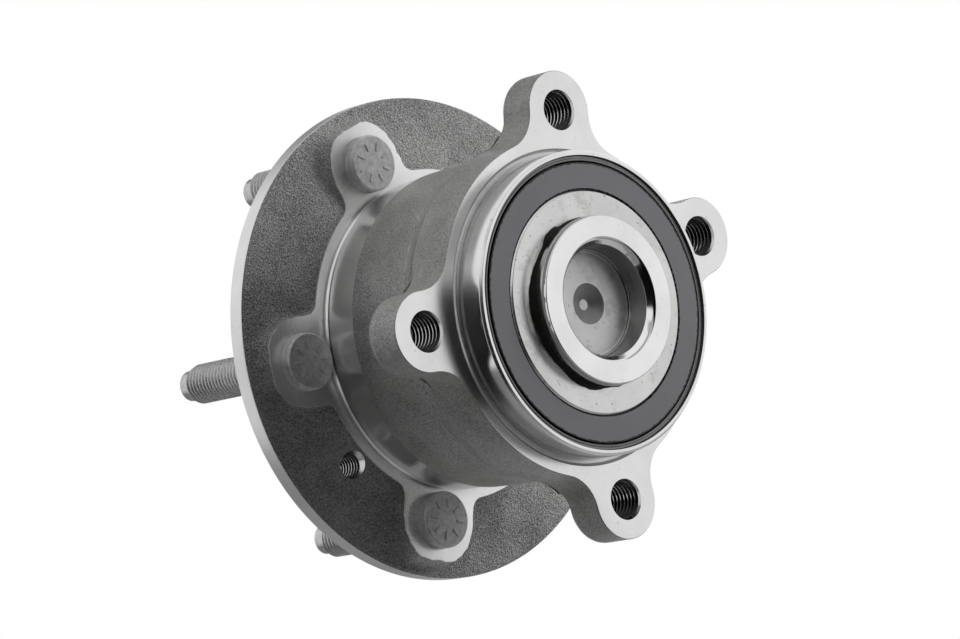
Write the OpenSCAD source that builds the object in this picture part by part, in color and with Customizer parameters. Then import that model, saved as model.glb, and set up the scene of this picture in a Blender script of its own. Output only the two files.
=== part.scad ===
// Rear wheel hub unit: a flanged spindle that turns in a double row ball bearing,
// whose outer ring bolts to the suspension knuckle through four threaded lugs.
// Millimetres. The axle lies along Y: +Y is outboard, towards the wheel, and +Z is up.
// The origin is on the axle, in the plane of the face that the wheel is clamped to.
// Profiles are drawn as [radius, depth], where depth is measured inboard from that plane.

/* [Wheel flange] */
// Distance from the stud centres to the rim of the flange
rim_margin = 16.35; // [14.5:0.05:20]
// Thickness of the flange at its rim
rim_t = 6.3; // [5:0.1:8]
// Bevel on both edges of the rim
rim_bevel = 0.7; // [0.3:0.1:1.2]
// Depth of the machined pads and ring under the stud heads
pad_depth = 12.1; // [11:0.1:14]
// Width of the machined ring round the collar
ring_w = 4.1; // [3.2:0.1:5]
// Height of that ring above the forged web at its edge
ring_step = 0.8; // [0.4:0.1:1.5]
// Width of the raised pads beside the stud heads
pad_land = 5.05; // [4:0.05:6]
// Distance from the ends of the pads to the rim
pad_margin = 4.2; // [3:0.1:5]
// Fillet between the sides of a pad and the ring
pad_fillet = 4; // [2:0.5:6]
// Height of the collar that faces the bearing's outer ring
collar_h = 0.9; // [0.5:0.1:1.5]
// Amount by which the collar is smaller than the outer ring's land, on the radius
collar_inset = 0.8; // [0.3:0.1:1.2]

/* [Wheel studs] */
// Number of wheel studs
stud_count = 5; // [4:1:5]
// Diameter of the circle through the stud centres
stud_pcd = 114.3; // [112:0.1:118]
// Turn of the first stud from +X, seen from inboard
stud_phase = 34.3; // [0:0.1:72]
// Major diameter of the stud thread
stud_d = 12; // [11:0.5:14]
// Length of the stud beyond the wheel face
stud_reach = 42.2; // [35:0.1:50]
// Diameter of the unthreaded point
point_d = 9.3; // [8:0.1:10]
// Length of the unthreaded point
point_l = 6.5; // [4:0.1:8]
// Depth of the neck between the thread and the splined shank
neck_depth = 0.4; // [0.2:0.1:0.8]
// Diameter of the splined shank that is pressed into the flange
spline_d = 12.9; // [12.5:0.1:14.5]
// Length of the splined shank
spline_l = 8.5; // [6:0.1:10]
// Diameter of the stud head
head_d = 17.1; // [16:0.1:19]
// Thickness of the stud head
head_t = 4.2; // [3:0.1:5]
// Bevel round the top of the stud head
head_bevel = 0.5; // [0.2:0.1:0.8]
// Gap between the stud heads and the outer ring of the bearing
head_gap = 1.3; // [0.8:0.1:2]

/* [Wheel pilot] */
// Diameter of the pilot that centres the wheel
wheel_pilot_d = 67; // [64:0.1:70]
// Length of the pilot beyond the wheel face
wheel_pilot_l = 15; // [12:0.5:20]
// Amount by which the pilot for the brake disc is larger
disc_pilot_step = 1; // [0.4:0.1:2]
// Length of the pilot for the brake disc
disc_pilot_l = 6; // [4:0.5:8]
// Length of the bevel that leads the wheel onto its pilot, which is half as wide
pilot_lead = 1.5; // [1:0.1:2.5]
// Thickness of the pilot's wall round the mouth of the forged pocket
pocket_wall = 6; // [5:0.5:9]
// Depth of the forged pocket from the end of the pilot
pocket_l = 28; // [20:0.5:29]
// Slope of the pocket's wall
pocket_draft = 12; // [5:1:16]
// Round where the pocket's wall meets its floor
pocket_round = 4; // [2:0.5:6]
// Tapping drill for the screw that holds the brake disc
disc_screw_drill = 6.8; // [6:0.1:7]
// Thread of the screw that holds the brake disc
disc_screw_d = 8; // [8:0.5:10]
// Distance from the edge of the ring to the centre of that screw
disc_screw_gap = 5.2; // [5:0.1:7]

/* [Spindle end] */
// Diameter of the journal that carries the inner ring
journal_d = 43; // [40:0.5:46]
// Distance that the rolled lip stands out past the journal
lip_reach = 3.3; // [2.6:0.1:4.5]
// Distance that the foot of the rolled lip stands out past the journal
lip_foot = 1.9; // [1.4:0.1:2.2]
// Height of the rolled lip above the inner ring
lip_h = 5.6; // [5:0.1:7]
// Distance from the mouth inside the rolled lip to the journal
lip_wall = 3.3; // [2.6:0.1:4]
// Radius of the rolled lip's outer edge
lip_round = 2.2; // [1:0.1:2.4]
// Depth of the recess floor below the face of the inner ring
recess_depth = 3.5; // [2:0.1:6]
// Distance from the edge of the recess floor to the mouth above it
recess_slope = 3.2; // [2:0.1:4.5]
// Diameter of the centre drilling at its mouth
centre_d = 12.2; // [8:0.1:14]
// Diameter of the flat at the bottom of the centre drilling
centre_flat_d = 4; // [2:0.1:5]
// Depth of the centre drilling
centre_depth = 2.2; // [1:0.1:3]
// Radius of the rolled lip's inner edge
mouth_round = 1.4; // [1:0.1:1.8]
// Fillet between the flange and the land of the outboard seal
root_fillet = 3.5; // [2:0.5:4]

/* [Bearing] */
// Diameter of the balls
ball_d = 12.7; // [11.9:0.05:13.1]
// Number of balls in each row
ball_count = 15; // [12:1:15]
// Distance between the two rows of balls
row_spacing = 31.5; // [30:0.5:36]
// Distance from the outboard end of the outer ring to the first row
row_inset = 17.4; // [17.2:0.1:20]
// Distance from the second row to the inboard end of the outer ring
row_outset = 17.1; // [16.9:0.1:20]
// Angle at which the balls press on their races
contact_angle = 35; // [25:1:42]
// Race radius as a share of the ball diameter
race_ratio = 0.52; // [0.51:0.005:0.54]
// Running clearance between the balls and the races
race_clearance = 0.04; // [0.02:0.01:0.08]
// Height of the outer ring's shoulder above the bottom of its race
shoulder_h = 3.4; // [2.5:0.1:4]
// Height of the low shoulders above the bottom of their races
low_shoulder_h = 0.7; // [0.4:0.1:0.8]
// Height of the inner races' high shoulders, where the seals sit
seal_land_h = 2.45; // [2:0.05:3]
// Length of the separate inner ring
inner_ring_l = 27.5; // [27.5:0.5:29]
// Distance that the inner ring stands back from the end of the outer ring
inner_ring_setback = 0.1; // [0:0.05:0.5]
// Small bevels on the edges of the rings
ring_bevel = 0.6; // [0.3:0.1:1]

/* [Ball cages] */
// Radial thickness of the cages
cage_t = 4; // [3:0.1:4.4]
// Clearance between a ball and its pocket
pocket_clearance = 0.15; // [0.1:0.05:0.3]
// Thickness of the cage behind the balls
cage_back = 1.2; // [0.8:0.1:1.4]
// Reach of the cage's fingers past the ball centres
cage_grip = 2.4; // [1.5:0.1:3]
// Width of the slot in each finger
cage_slot_w = 1.2; // [0.8:0.1:1.6]
// Depth of the slot in each finger
cage_slot_l = 2; // [1:0.1:3]

/* [Seals] */
// Depth of the seal seats below the bottom of the outer races
seat_step = 0.95; // [0.6:0.05:1.2]
// Thickness of the pressed seal cases
case_t = 0.6; // [0.4:0.1:0.8]
// Length of the seal cases
case_l = 6.6; // [6:0.1:6.7]
// Distance that the seal cases stand back from the ends of the outer ring
case_setback = 0.7; // [0.5:0.1:0.9]
// Free space between the lips' carrier and the land that they run on
lip_space = 2.6; // [2:0.1:3]
// Running clearance of the lips
lip_clearance = 0.1; // [0.05:0.01:0.15]
// Thickness of the rubber that is bonded to the cases
carrier_t = 0.7; // [0.5:0.1:0.9]
// Distance that this rubber stands out past the bore of the case
carrier_reach = 0.9; // [0.6:0.1:1.2]
// Thickness of a lip at its foot
lip_foot_t = 0.8; // [0.6:0.1:1]
// Thickness of a lip at its tip
lip_tip_t = 0.4; // [0.3:0.05:0.5]
// Distance that the tips of the leaning lips stand outside their feet
lip_lean = 1.6; // [1.2:0.1:2]
// Thickness of the slinger
slinger_t = 0.6; // [0.4:0.1:0.8]
// Thickness of the magnetic encoder
encoder_t = 0.6; // [0.5:0.05:0.8]
// Distance that the encoder stands back from the face of the inner ring
encoder_setback = 0.3; // [0.1:0.05:0.5]
// Radial gap between the encoder and the seal case
encoder_gap = 0.5; // [0.3:0.05:0.8]

/* [Outer ring] */
// Running gap between the flange collar and the end of the outer ring
end_gap = 0.65; // [0.4:0.05:1]
// Length of that land
land_l = 12; // [8:0.5:16]
// Bevel at the outboard end of the land
land_bevel = 1; // [0.5:0.1:1.4]
// Height of the forged body above the land
body_step = 0.8; // [0.6:0.1:1.2]
// Further rise of the forged body to its parting line
parting_rise = 1; // [0.5:0.1:1.5]
// Height of the step at the parting line
parting_step = 0.25; // [0.1:0.05:0.4]
// Distance from the parting line to the lug plate
parting_gap = 5; // [3:0.5:8]
// Further rise of the body to the plate between the lugs
plate_rise = 1.2; // [0.8:0.1:2]
// Thickness of the lugs
lug_t = 13.6; // [11:0.1:16]
// Depth of the pilot that centres the unit in the knuckle below the turned land
pilot_step = 2.3; // [1.8:0.05:2.6]
// Thickness of that pilot's wall round the seal seat
pilot_wall = 2.6; // [2:0.1:3.2]
// Length of that pilot beyond the lug face
knuckle_pilot_l = 9.8; // [8.5:0.1:12]
// Bevel on the end of that pilot
knuckle_pilot_bevel = 0.7; // [0.4:0.1:1]
// Width of the groove cut into the lug face round the pilot
groove_w = 1.9; // [1.4:0.1:2.6]
// Depth of that groove
groove_depth = 0.8; // [0.4:0.1:1.2]
// Depth of the relief cut into the pilot at its foot
relief_depth = 0.4; // [0.2:0.05:0.6]
// Length of that relief
relief_l = 1.2; // [1:0.1:2]
// Amount by which the mouth at the inboard end is wider than the seal seat
mouth_step = 0.9; // [0.5:0.1:1.1]
// Depth of that mouth
mouth_l = 1.4; // [1:0.1:1.8]

/* [Knuckle lugs] */
// Distance from the pilot to the centres of the lug holes
lug_gap = 13.5; // [12.5:0.1:17]
// Direction of the lug pattern's line of symmetry from +X, seen from inboard
lug_axis = 45; // [0:1:90]
// Turn of the near pair of lugs from that line
lug_near = 33.4; // [30:0.1:40]
// Turn of the far pair of lugs from that line
lug_far = 132; // [125:0.5:140]
// Thickness of a lug's wall round its thread
lug_wall = 5.8; // [4.5:0.1:7]
// Fillet between the sides of a lug and the body
lug_fillet = 12; // [8:0.5:13]
// Tapping drill for the lug threads
lug_drill = 10.5; // [10:0.1:10.8]
// Major diameter of the lug threads
lug_thread_d = 12; // [12:0.5:14]
// Angle of the countersink at the mouth of a thread
countersink = 60; // [45:1:75]

/* [Hidden] */
$fn = 180;
// How far a cutter reaches past the faces that it cuts
overcut = 1;
// How far the fillets beside an arm overlap the disc that it grows out of
fillet_overlap = 0.01;

stud_r = stud_pcd / 2;
flange_r = stud_r + rim_margin;
outer_land_r = stud_r - head_d / 2 - head_gap;
collar_r = outer_land_r - collar_inset;
ring_r = collar_r + ring_w;
pad_half_w = head_d / 2 + pad_land;
collar_depth = pad_depth + collar_h;
disc_screw_r = ring_r + disc_screw_gap;
disc_screw_angle = 180 + stud_phase + (stud_count % 2 == 0 ? 180 / stud_count : 0);
web_slope = (pad_depth - ring_step - rim_t) / (flange_r - rim_bevel - ring_r);
ring_root_r = (collar_r + collar_h + ring_r) / 2;

outer_start = collar_depth + end_gap;
outboard_row = outer_start + row_inset;
inboard_row = outboard_row + row_spacing;
outer_end = inboard_row + row_outset;
lug_face = outer_end - knuckle_pilot_l;
plate_start = lug_face - lug_t;
parting = plate_start - parting_gap;
land_end = outer_start + land_l;
body_r = outer_land_r + body_step;
parting_r = body_r + parting_rise;
plate_r = parting_r + plate_rise;
knuckle_pilot_r = outer_land_r - pilot_step;
lug_reach = knuckle_pilot_r + lug_gap;
lug_round = lug_thread_d / 2 + lug_wall;
inner_face = outer_end - inner_ring_setback;
inner_start = inner_face - inner_ring_l;

seat_r = knuckle_pilot_r - pilot_wall;
mouth_r = seat_r + mouth_step;
outer_race_bottom = seat_r + seat_step;
ball_r = ball_d / 2;
pitch_r = outer_race_bottom - ball_r;
inner_race_bottom = pitch_r - ball_r;
race_r = race_ratio * ball_d;
race_shift = race_r - ball_r - race_clearance;
outer_shoulder_r = outer_race_bottom - shoulder_h;
inner_low_r = inner_race_bottom + low_shoulder_h;
land_r = inner_race_bottom + seal_land_h;
journal_r = journal_d / 2;
lip_foot_r = journal_r + lip_foot;
lip_r = journal_r + lip_reach;
lip_mouth_r = journal_r - lip_wall;
recess_floor_r = lip_mouth_r - recess_slope;

case_bore = land_r + lip_space;
slinger_face = inner_face - encoder_setback - encoder_t;
encoder_r = seat_r - case_t - encoder_gap;

lug_angles = [for (side = [-1, 1], turn = [lug_near, lug_far]) lug_axis + side * turn];
stud_names = [for (i = [1:stud_count]) str("wheel_stud_", i)];
ball_ids = [for (i = [1:ball_count]) str(i < 10 ? "0" : "", i)];
outboard_balls = [for (id = ball_ids) str("outboard_ball_", id)];
inboard_balls = [for (id = ball_ids) str("inboard_ball_", id)];

// Points along an arc, from one angle to another
function arc(centre, r, from, to, steps = 8) = [
    for (i = [0:steps])
        let (a = from + (to - from) * i / steps)
            centre + r * [cos(a), sin(a)]
];

// Lays local X, Y and depth into the model: X stays, Y becomes Z and depth becomes -Y
module on_axle() {
    rotate([90, 0, 0]) children();
}

// Turns a profile of [radius, depth] round the axle
module turned() {
    rotate_extrude() children();
}

// A plate or a cutter between two depths
module slab(from, to) {
    translate([0, 0, from]) linear_extrude(to - from) children();
}

// A place at a radius and an angle round the axle
module at_polar(r, angle) {
    rotate(angle) translate([r, 0]) children();
}

// The round section of a ball race. The contact point lies contact_angle away from the
// radial direction: side is 1 for an outer race and -1 for an inner race, and towards
// is the axial sign of the outer race's contact point.
module race_section(row, side, towards) {
    shift = -side * race_shift;
    translate([pitch_r + shift * cos(contact_angle), row + towards * shift * sin(contact_angle)])
        circle(r = race_r);
}

// An arm that grows out of a disc and blends into it with a fillet on each side. The
// fillets overlap the disc by a hair, because circles that only touch leave slivers.
module arm(root_r, reach, half_w, fillet) {
    centre_r = root_r + fillet - fillet_overlap;
    centre_y = half_w + fillet;
    centre_x = sqrt(pow(centre_r, 2) - pow(centre_y, 2));
    touch = (root_r - fillet_overlap / 2) / centre_r * [centre_x, centre_y];
    difference() {
        polygon([
            [0, 0], [touch.x, -touch.y], [centre_x, -half_w], [reach, -half_w],
            [reach, half_w], [centre_x, half_w], touch
        ]);
        for (side = [-1, 1]) translate([centre_x, side * centre_y]) circle(r = fillet);
    }
    translate([reach, 0]) circle(r = half_w);
}

// A threaded hole through a plate, with a countersink at both mouths
module tapped_hole(drill, thread, from, to) {
    flare = tan(countersink / 2);
    sink = (thread - drill) / 2 / flare + overcut;
    mouth = thread + 2 * overcut * flare;
    slab(from - overcut, to + overcut) circle(d = drill);
    translate([0, 0, from - overcut]) cylinder(h = sink, d1 = mouth, d2 = drill);
    translate([0, 0, to + overcut - sink]) cylinder(h = sink, d1 = drill, d2 = mouth);
}

// Depth of the forged web at a radius
function web_depth(r) = rim_t + web_slope * (flange_r - rim_bevel - r);

// Outline of the rolled lip and its recess, from the lip's foot to the axle
function lip_points() =
    let (
        crown = inner_face + lip_h,
        recess_floor = inner_face - recess_depth
    )
    concat(
        [[lip_foot_r, inner_face]],
        arc([lip_r - lip_round, crown - lip_round], lip_round, 0, 90),
        arc([lip_mouth_r + mouth_round, crown - mouth_round], mouth_round, 90, 180),
        [[lip_mouth_r, crown - 2 * mouth_round],
         [recess_floor_r, recess_floor],
         [centre_d / 2, recess_floor],
         [centre_flat_d / 2, recess_floor - centre_depth],
         [0, recess_floor - centre_depth]]
    );

// Outline of the whole forging: pocket, pilots, flange, collar, race, journal and lip.
// The edge of the machined ring isn't in it, because it is drawn with the pads.
module spindle_profile() {
    pocket_floor = pocket_l - wheel_pilot_l;
    pocket_r = wheel_pilot_d / 2 - pocket_wall;
    round_depth = pocket_l - pocket_round;
    round_r = pocket_r - round_depth * tan(pocket_draft) - pocket_round / cos(pocket_draft);
    pilot_r = wheel_pilot_d / 2;
    polygon(concat(
        [[0, pocket_floor]],
        arc([round_r, pocket_floor - pocket_round], pocket_round, 90, pocket_draft),
        [[pocket_r, -wheel_pilot_l],
         [pilot_r - pilot_lead / 2, -wheel_pilot_l],
         [pilot_r, pilot_lead - wheel_pilot_l],
         [pilot_r, -disc_pilot_l - disc_pilot_step],
         [pilot_r + disc_pilot_step, -disc_pilot_l],
         [pilot_r + disc_pilot_step, 0],
         [flange_r - rim_bevel, 0],
         [flange_r, rim_bevel],
         [flange_r, rim_t - rim_bevel],
         [flange_r - rim_bevel, rim_t],
         [ring_root_r, web_depth(ring_root_r)],
         [ring_root_r, pad_depth]],
        arc([collar_r + collar_h, collar_depth], collar_h, 270, 180),
        arc([land_r + root_fillet, collar_depth + root_fillet], root_fillet, 270, 180),
        [[land_r, outboard_row],
         [inner_low_r, outboard_row],
         [inner_low_r, inner_start],
         [journal_r, inner_start],
         [journal_r, inner_face]],
        lip_points()
    ));
}

// Direction of a stud from +X, seen from inboard
function stud_angle(i) = stud_phase + i * 360 / stud_count;

// Outline of the machined ring and the pads that grow out of it
module ring_and_pads() {
    circle(r = ring_r);
    for (i = [0:stud_count - 1]) rotate(stud_angle(i))
        intersection() {
            circle(r = flange_r - pad_margin);
            arm(ring_r, stud_r, pad_half_w, pad_fillet);
        }
}

module hub_spindle() {
    color("dimgray") on_axle() difference() {
        union() {
            turned() difference() {
                spindle_profile();
                race_section(outboard_row, -1, 1);
            }
            slab(rim_t - rim_bevel, pad_depth) difference() {
                ring_and_pads();
                circle(r = land_r);
            }
        }
        for (i = [0:stud_count - 1])
            at_polar(stud_r, stud_angle(i))
                slab(-overcut, pad_depth + overcut) circle(d = spline_d);
        at_polar(disc_screw_r, disc_screw_angle)
            tapped_hole(disc_screw_drill, disc_screw_d, 0, web_depth(disc_screw_r));
    }
}

module wheel_stud(i) {
    spline_end = pad_depth - spline_l;
    bevel = (stud_d - point_d) / 2;
    color("silver") on_axle() at_polar(stud_r, stud_angle(i))
        turned() polygon([
            [0, -stud_reach],
            [point_d / 2 - head_bevel, -stud_reach],
            [point_d / 2, head_bevel - stud_reach],
            [point_d / 2, point_l - stud_reach],
            [stud_d / 2, point_l + bevel - stud_reach],
            [stud_d / 2, -neck_depth],
            [stud_d / 2 - neck_depth, 0],
            [stud_d / 2 - neck_depth, spline_end - (spline_d - stud_d) / 2 - neck_depth],
            [spline_d / 2, spline_end],
            [spline_d / 2, pad_depth],
            [head_d / 2, pad_depth],
            [head_d / 2, pad_depth + head_t - head_bevel],
            [head_d / 2 - head_bevel, pad_depth + head_t],
            [0, pad_depth + head_t]
        ]);
}

module inner_ring() {
    color("lightgray") on_axle() turned() difference() {
        polygon([
            [journal_r, inner_start],
            [inner_low_r - ring_bevel, inner_start],
            [inner_low_r, inner_start + ring_bevel],
            [inner_low_r, inboard_row],
            [land_r, inboard_row],
            [land_r, inner_face - ring_bevel],
            [land_r - ring_bevel, inner_face],
            [journal_r, inner_face]
        ]);
        race_section(inboard_row, -1, -1);
    }
}

module outer_profile() {
    pilot_r = knuckle_pilot_r;
    difference() {
        polygon([
            [seat_r + ring_bevel, outer_start],
            [outer_land_r - land_bevel, outer_start],
            [outer_land_r, outer_start + land_bevel],
            [outer_land_r, land_end],
            [body_r, land_end + body_step / 2],
            [parting_r - parting_step, parting],
            [parting_r, parting],
            [plate_r, plate_start],
            [plate_r, lug_face],
            [pilot_r + groove_w, lug_face],
            [pilot_r + groove_w - groove_depth, lug_face - groove_depth],
            [pilot_r - relief_depth, lug_face - groove_depth],
            [pilot_r - relief_depth, lug_face],
            [pilot_r, lug_face + relief_l],
            [pilot_r, outer_end - knuckle_pilot_bevel],
            [pilot_r - knuckle_pilot_bevel, outer_end],
            [mouth_r, outer_end],
            [mouth_r, outer_end - mouth_l + mouth_step],
            [seat_r, outer_end - mouth_l],
            [seat_r, inboard_row],
            [outer_shoulder_r, inboard_row],
            [outer_shoulder_r, outboard_row],
            [seat_r, outboard_row],
            [seat_r, outer_start + ring_bevel]
        ]);
        race_section(outboard_row, 1, 1);
        race_section(inboard_row, 1, -1);
    }
}

module outer_ring() {
    color("gray") on_axle() difference() {
        union() {
            turned() outer_profile();
            slab(plate_start, lug_face) difference() {
                for (angle = lug_angles) rotate(angle)
                    arm(plate_r, lug_reach, lug_round, lug_fillet);
                circle(r = knuckle_pilot_r + groove_w);
            }
        }
        for (angle = lug_angles) at_polar(lug_reach, angle)
            tapped_hole(lug_drill, lug_thread_d, plate_start, lug_face);
    }
}

module ball(row, i) {
    color("gainsboro") on_axle() at_polar(pitch_r, i * 360 / ball_count)
        translate([0, 0, row]) sphere(r = ball_r);
}

// A snap-in cage: a ring behind the balls with open pockets between split fingers.
// open_side is the axial sign of the side that the balls snap in from.
module cage(row, open_side) {
    back = row - open_side * (ball_r + cage_back);
    front = row + open_side * cage_grip;
    slot_end = front - open_side * cage_slot_l;
    color("saddlebrown") on_axle() difference() {
        slab(min(back, front), max(back, front)) difference() {
            circle(r = pitch_r + cage_t / 2);
            circle(r = pitch_r - cage_t / 2);
        }
        for (i = [0:ball_count - 1]) {
            at_polar(pitch_r, i * 360 / ball_count)
                translate([0, 0, row]) sphere(r = ball_r + pocket_clearance);
            rotate((i + 0.5) * 360 / ball_count)
                slab(min(slot_end, front + open_side), max(slot_end, front + open_side))
                    translate([pitch_r - cage_t, -cage_slot_w / 2]) square([2 * cage_t, cage_slot_w]);
        }
    }
}

// A pressed steel case: a sleeve in its seat with a flange on the side of the balls.
// mouth is the outer end of the sleeve and inward is the axial sign towards the balls.
module seal_case(mouth, inward) {
    inner = mouth + inward * case_l;
    flange_side = inner - inward * case_t;
    color("darkgray") on_axle() turned() union() {
        translate([seat_r - case_t, min(mouth, inner)]) square([case_t, case_l]);
        translate([case_bore, min(inner, flange_side)]) square([seat_r - case_bore, case_t]);
    }
}

// Outline of a lip that leans outwards from its foot to its tip
function leaning_lip(foot_r, foot, tip) = [
    [foot_r + lip_foot_t / 2, foot],
    [foot_r + lip_lean + lip_tip_t / 2, tip],
    [foot_r + lip_lean - lip_tip_t / 2, tip],
    [foot_r - lip_foot_t / 2, foot]
];

// Rubber bonded to the flange of a seal case: one lip runs on the round land and two
// lean out against the face that turns with the hub.
module seal_lips(mouth, inward, run_r, run_face) {
    flange_side = mouth + inward * (case_l - case_t);
    flange_back = flange_side + inward * case_t;
    foot = flange_side - inward * carrier_t;
    tip = run_face + inward * lip_clearance;
    root = case_bore - carrier_reach;
    outer_edge = seat_r - case_t - lip_lean;
    first_foot = root + lip_lean;
    second_foot = (first_foot + outer_edge) / 2;
    tip_r = run_r + lip_clearance;
    color("black") on_axle() turned() polygon(concat(
        [[case_bore, flange_back], [case_bore, flange_side], [outer_edge, flange_side],
         [outer_edge, foot]],
        leaning_lip(second_foot, foot, tip),
        leaning_lip(first_foot, foot, tip),
        [[root + lip_tip_t, foot],
         [tip_r, foot - inward * lip_foot_t],
         [tip_r, foot - inward * lip_tip_t / 2],
         [root, flange_back]]
    ));
}

module encoder_slinger() {
    sleeve_start = outer_end - case_setback - case_l + 2 * case_t;
    color("silver") on_axle() turned() union() {
        translate([land_r, sleeve_start]) square([slinger_t, slinger_face - sleeve_start]);
        translate([land_r, slinger_face - slinger_t])
            square([encoder_r - encoder_t - land_r, slinger_t]);
    }
}

// The magnetised rubber face, wrapped round the edge of the slinger
module magnetic_encoder() {
    color("black") on_axle() turned() polygon([
        [land_r + ring_bevel / 2, slinger_face],
        [encoder_r - encoder_t, slinger_face],
        [encoder_r - encoder_t, slinger_face - slinger_t],
        [encoder_r, slinger_face - slinger_t],
        [encoder_r, slinger_face + encoder_t],
        [land_r + ring_bevel / 2, slinger_face + encoder_t]
    ]);
}

outer_ring();
hub_spindle();
inner_ring();
cage(outboard_row, 1);  // outboard_cage
cage(inboard_row, -1);  // inboard_cage
seal_case(outer_start + case_setback, 1);  // outboard_seal_case
seal_case(outer_end - case_setback, -1);  // inboard_seal_case
seal_lips(outer_start + case_setback, 1, land_r, collar_depth);  // outboard_seal_lips
seal_lips(outer_end - case_setback, -1, land_r + slinger_t, slinger_face - slinger_t);  // inboard_seal_lips
encoder_slinger();
magnetic_encoder();
for (i = [0:stud_count - 1])
    wheel_stud(i);
for (i = [0:ball_count - 1]) {
    ball(outboard_row, i);
    ball(inboard_row, i);
}
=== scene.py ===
"""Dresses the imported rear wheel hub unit.

The forgings, studs and seals are modelled round the exact frame: forged skins with soft
feet, turned faces with crisp edges, real threads, and finishes made from shader nodes.
Sizes are in millimetres and become metres where a mesh is made. A depth is measured
inboard from the face that the wheel is clamped to, so it runs along -Y.
"""

import logging
import math
from dataclasses import dataclass, field
from enum import Enum
from typing import ClassVar, Sequence

import bmesh
import bpy
import numpy as np
from mathutils import Matrix, Vector

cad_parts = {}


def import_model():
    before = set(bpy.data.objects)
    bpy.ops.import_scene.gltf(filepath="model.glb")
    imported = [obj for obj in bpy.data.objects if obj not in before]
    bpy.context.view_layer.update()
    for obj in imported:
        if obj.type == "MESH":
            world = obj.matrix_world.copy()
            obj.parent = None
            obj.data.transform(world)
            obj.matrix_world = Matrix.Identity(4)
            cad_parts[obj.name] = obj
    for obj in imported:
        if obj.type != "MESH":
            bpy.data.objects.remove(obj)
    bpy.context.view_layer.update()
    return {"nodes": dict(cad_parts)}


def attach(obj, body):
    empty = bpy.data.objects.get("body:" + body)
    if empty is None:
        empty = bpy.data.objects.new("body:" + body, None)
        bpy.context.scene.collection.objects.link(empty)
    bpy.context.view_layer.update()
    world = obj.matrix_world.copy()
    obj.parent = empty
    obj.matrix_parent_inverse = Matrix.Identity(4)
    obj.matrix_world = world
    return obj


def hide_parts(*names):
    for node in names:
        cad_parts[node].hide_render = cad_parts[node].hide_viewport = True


LOG = logging.getLogger("wheel_hub")
MM = 0.001
SMOOTH_ANGLE = math.radians(32)
STRAIGHT = math.radians(89)  # half of a corner's angle, past which it isn't rounded
MERGE = 1e-6  # points nearer than this, in metres, become one

Point = tuple[float, float]
Colour = tuple[float, float, float]
Piece = bpy.types.Object
Material = bpy.types.Material
Socket = bpy.types.NodeSocket
Value = Socket | float
Tone = Socket | float | Colour
Number = float | np.ndarray

OIL_STAIN: Colour = (0.17, 0.16, 0.13)
BRIGHT_SCAR: Colour = (0.62, 0.61, 0.59)
DRIED_GREASE: Colour = (0.13, 0.12, 0.10)
DUST: Colour = (0.6, 0.6, 0.6)
MOULD_EDGE: Colour = (0.006, 0.006, 0.006)


# ---------------------------------------------------------------- finishes


class Along(Enum):
    """Which way the marks of a cutting tool run."""

    FACE = "rings on a flat face"
    BARREL = "rings along a cylinder"


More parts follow.
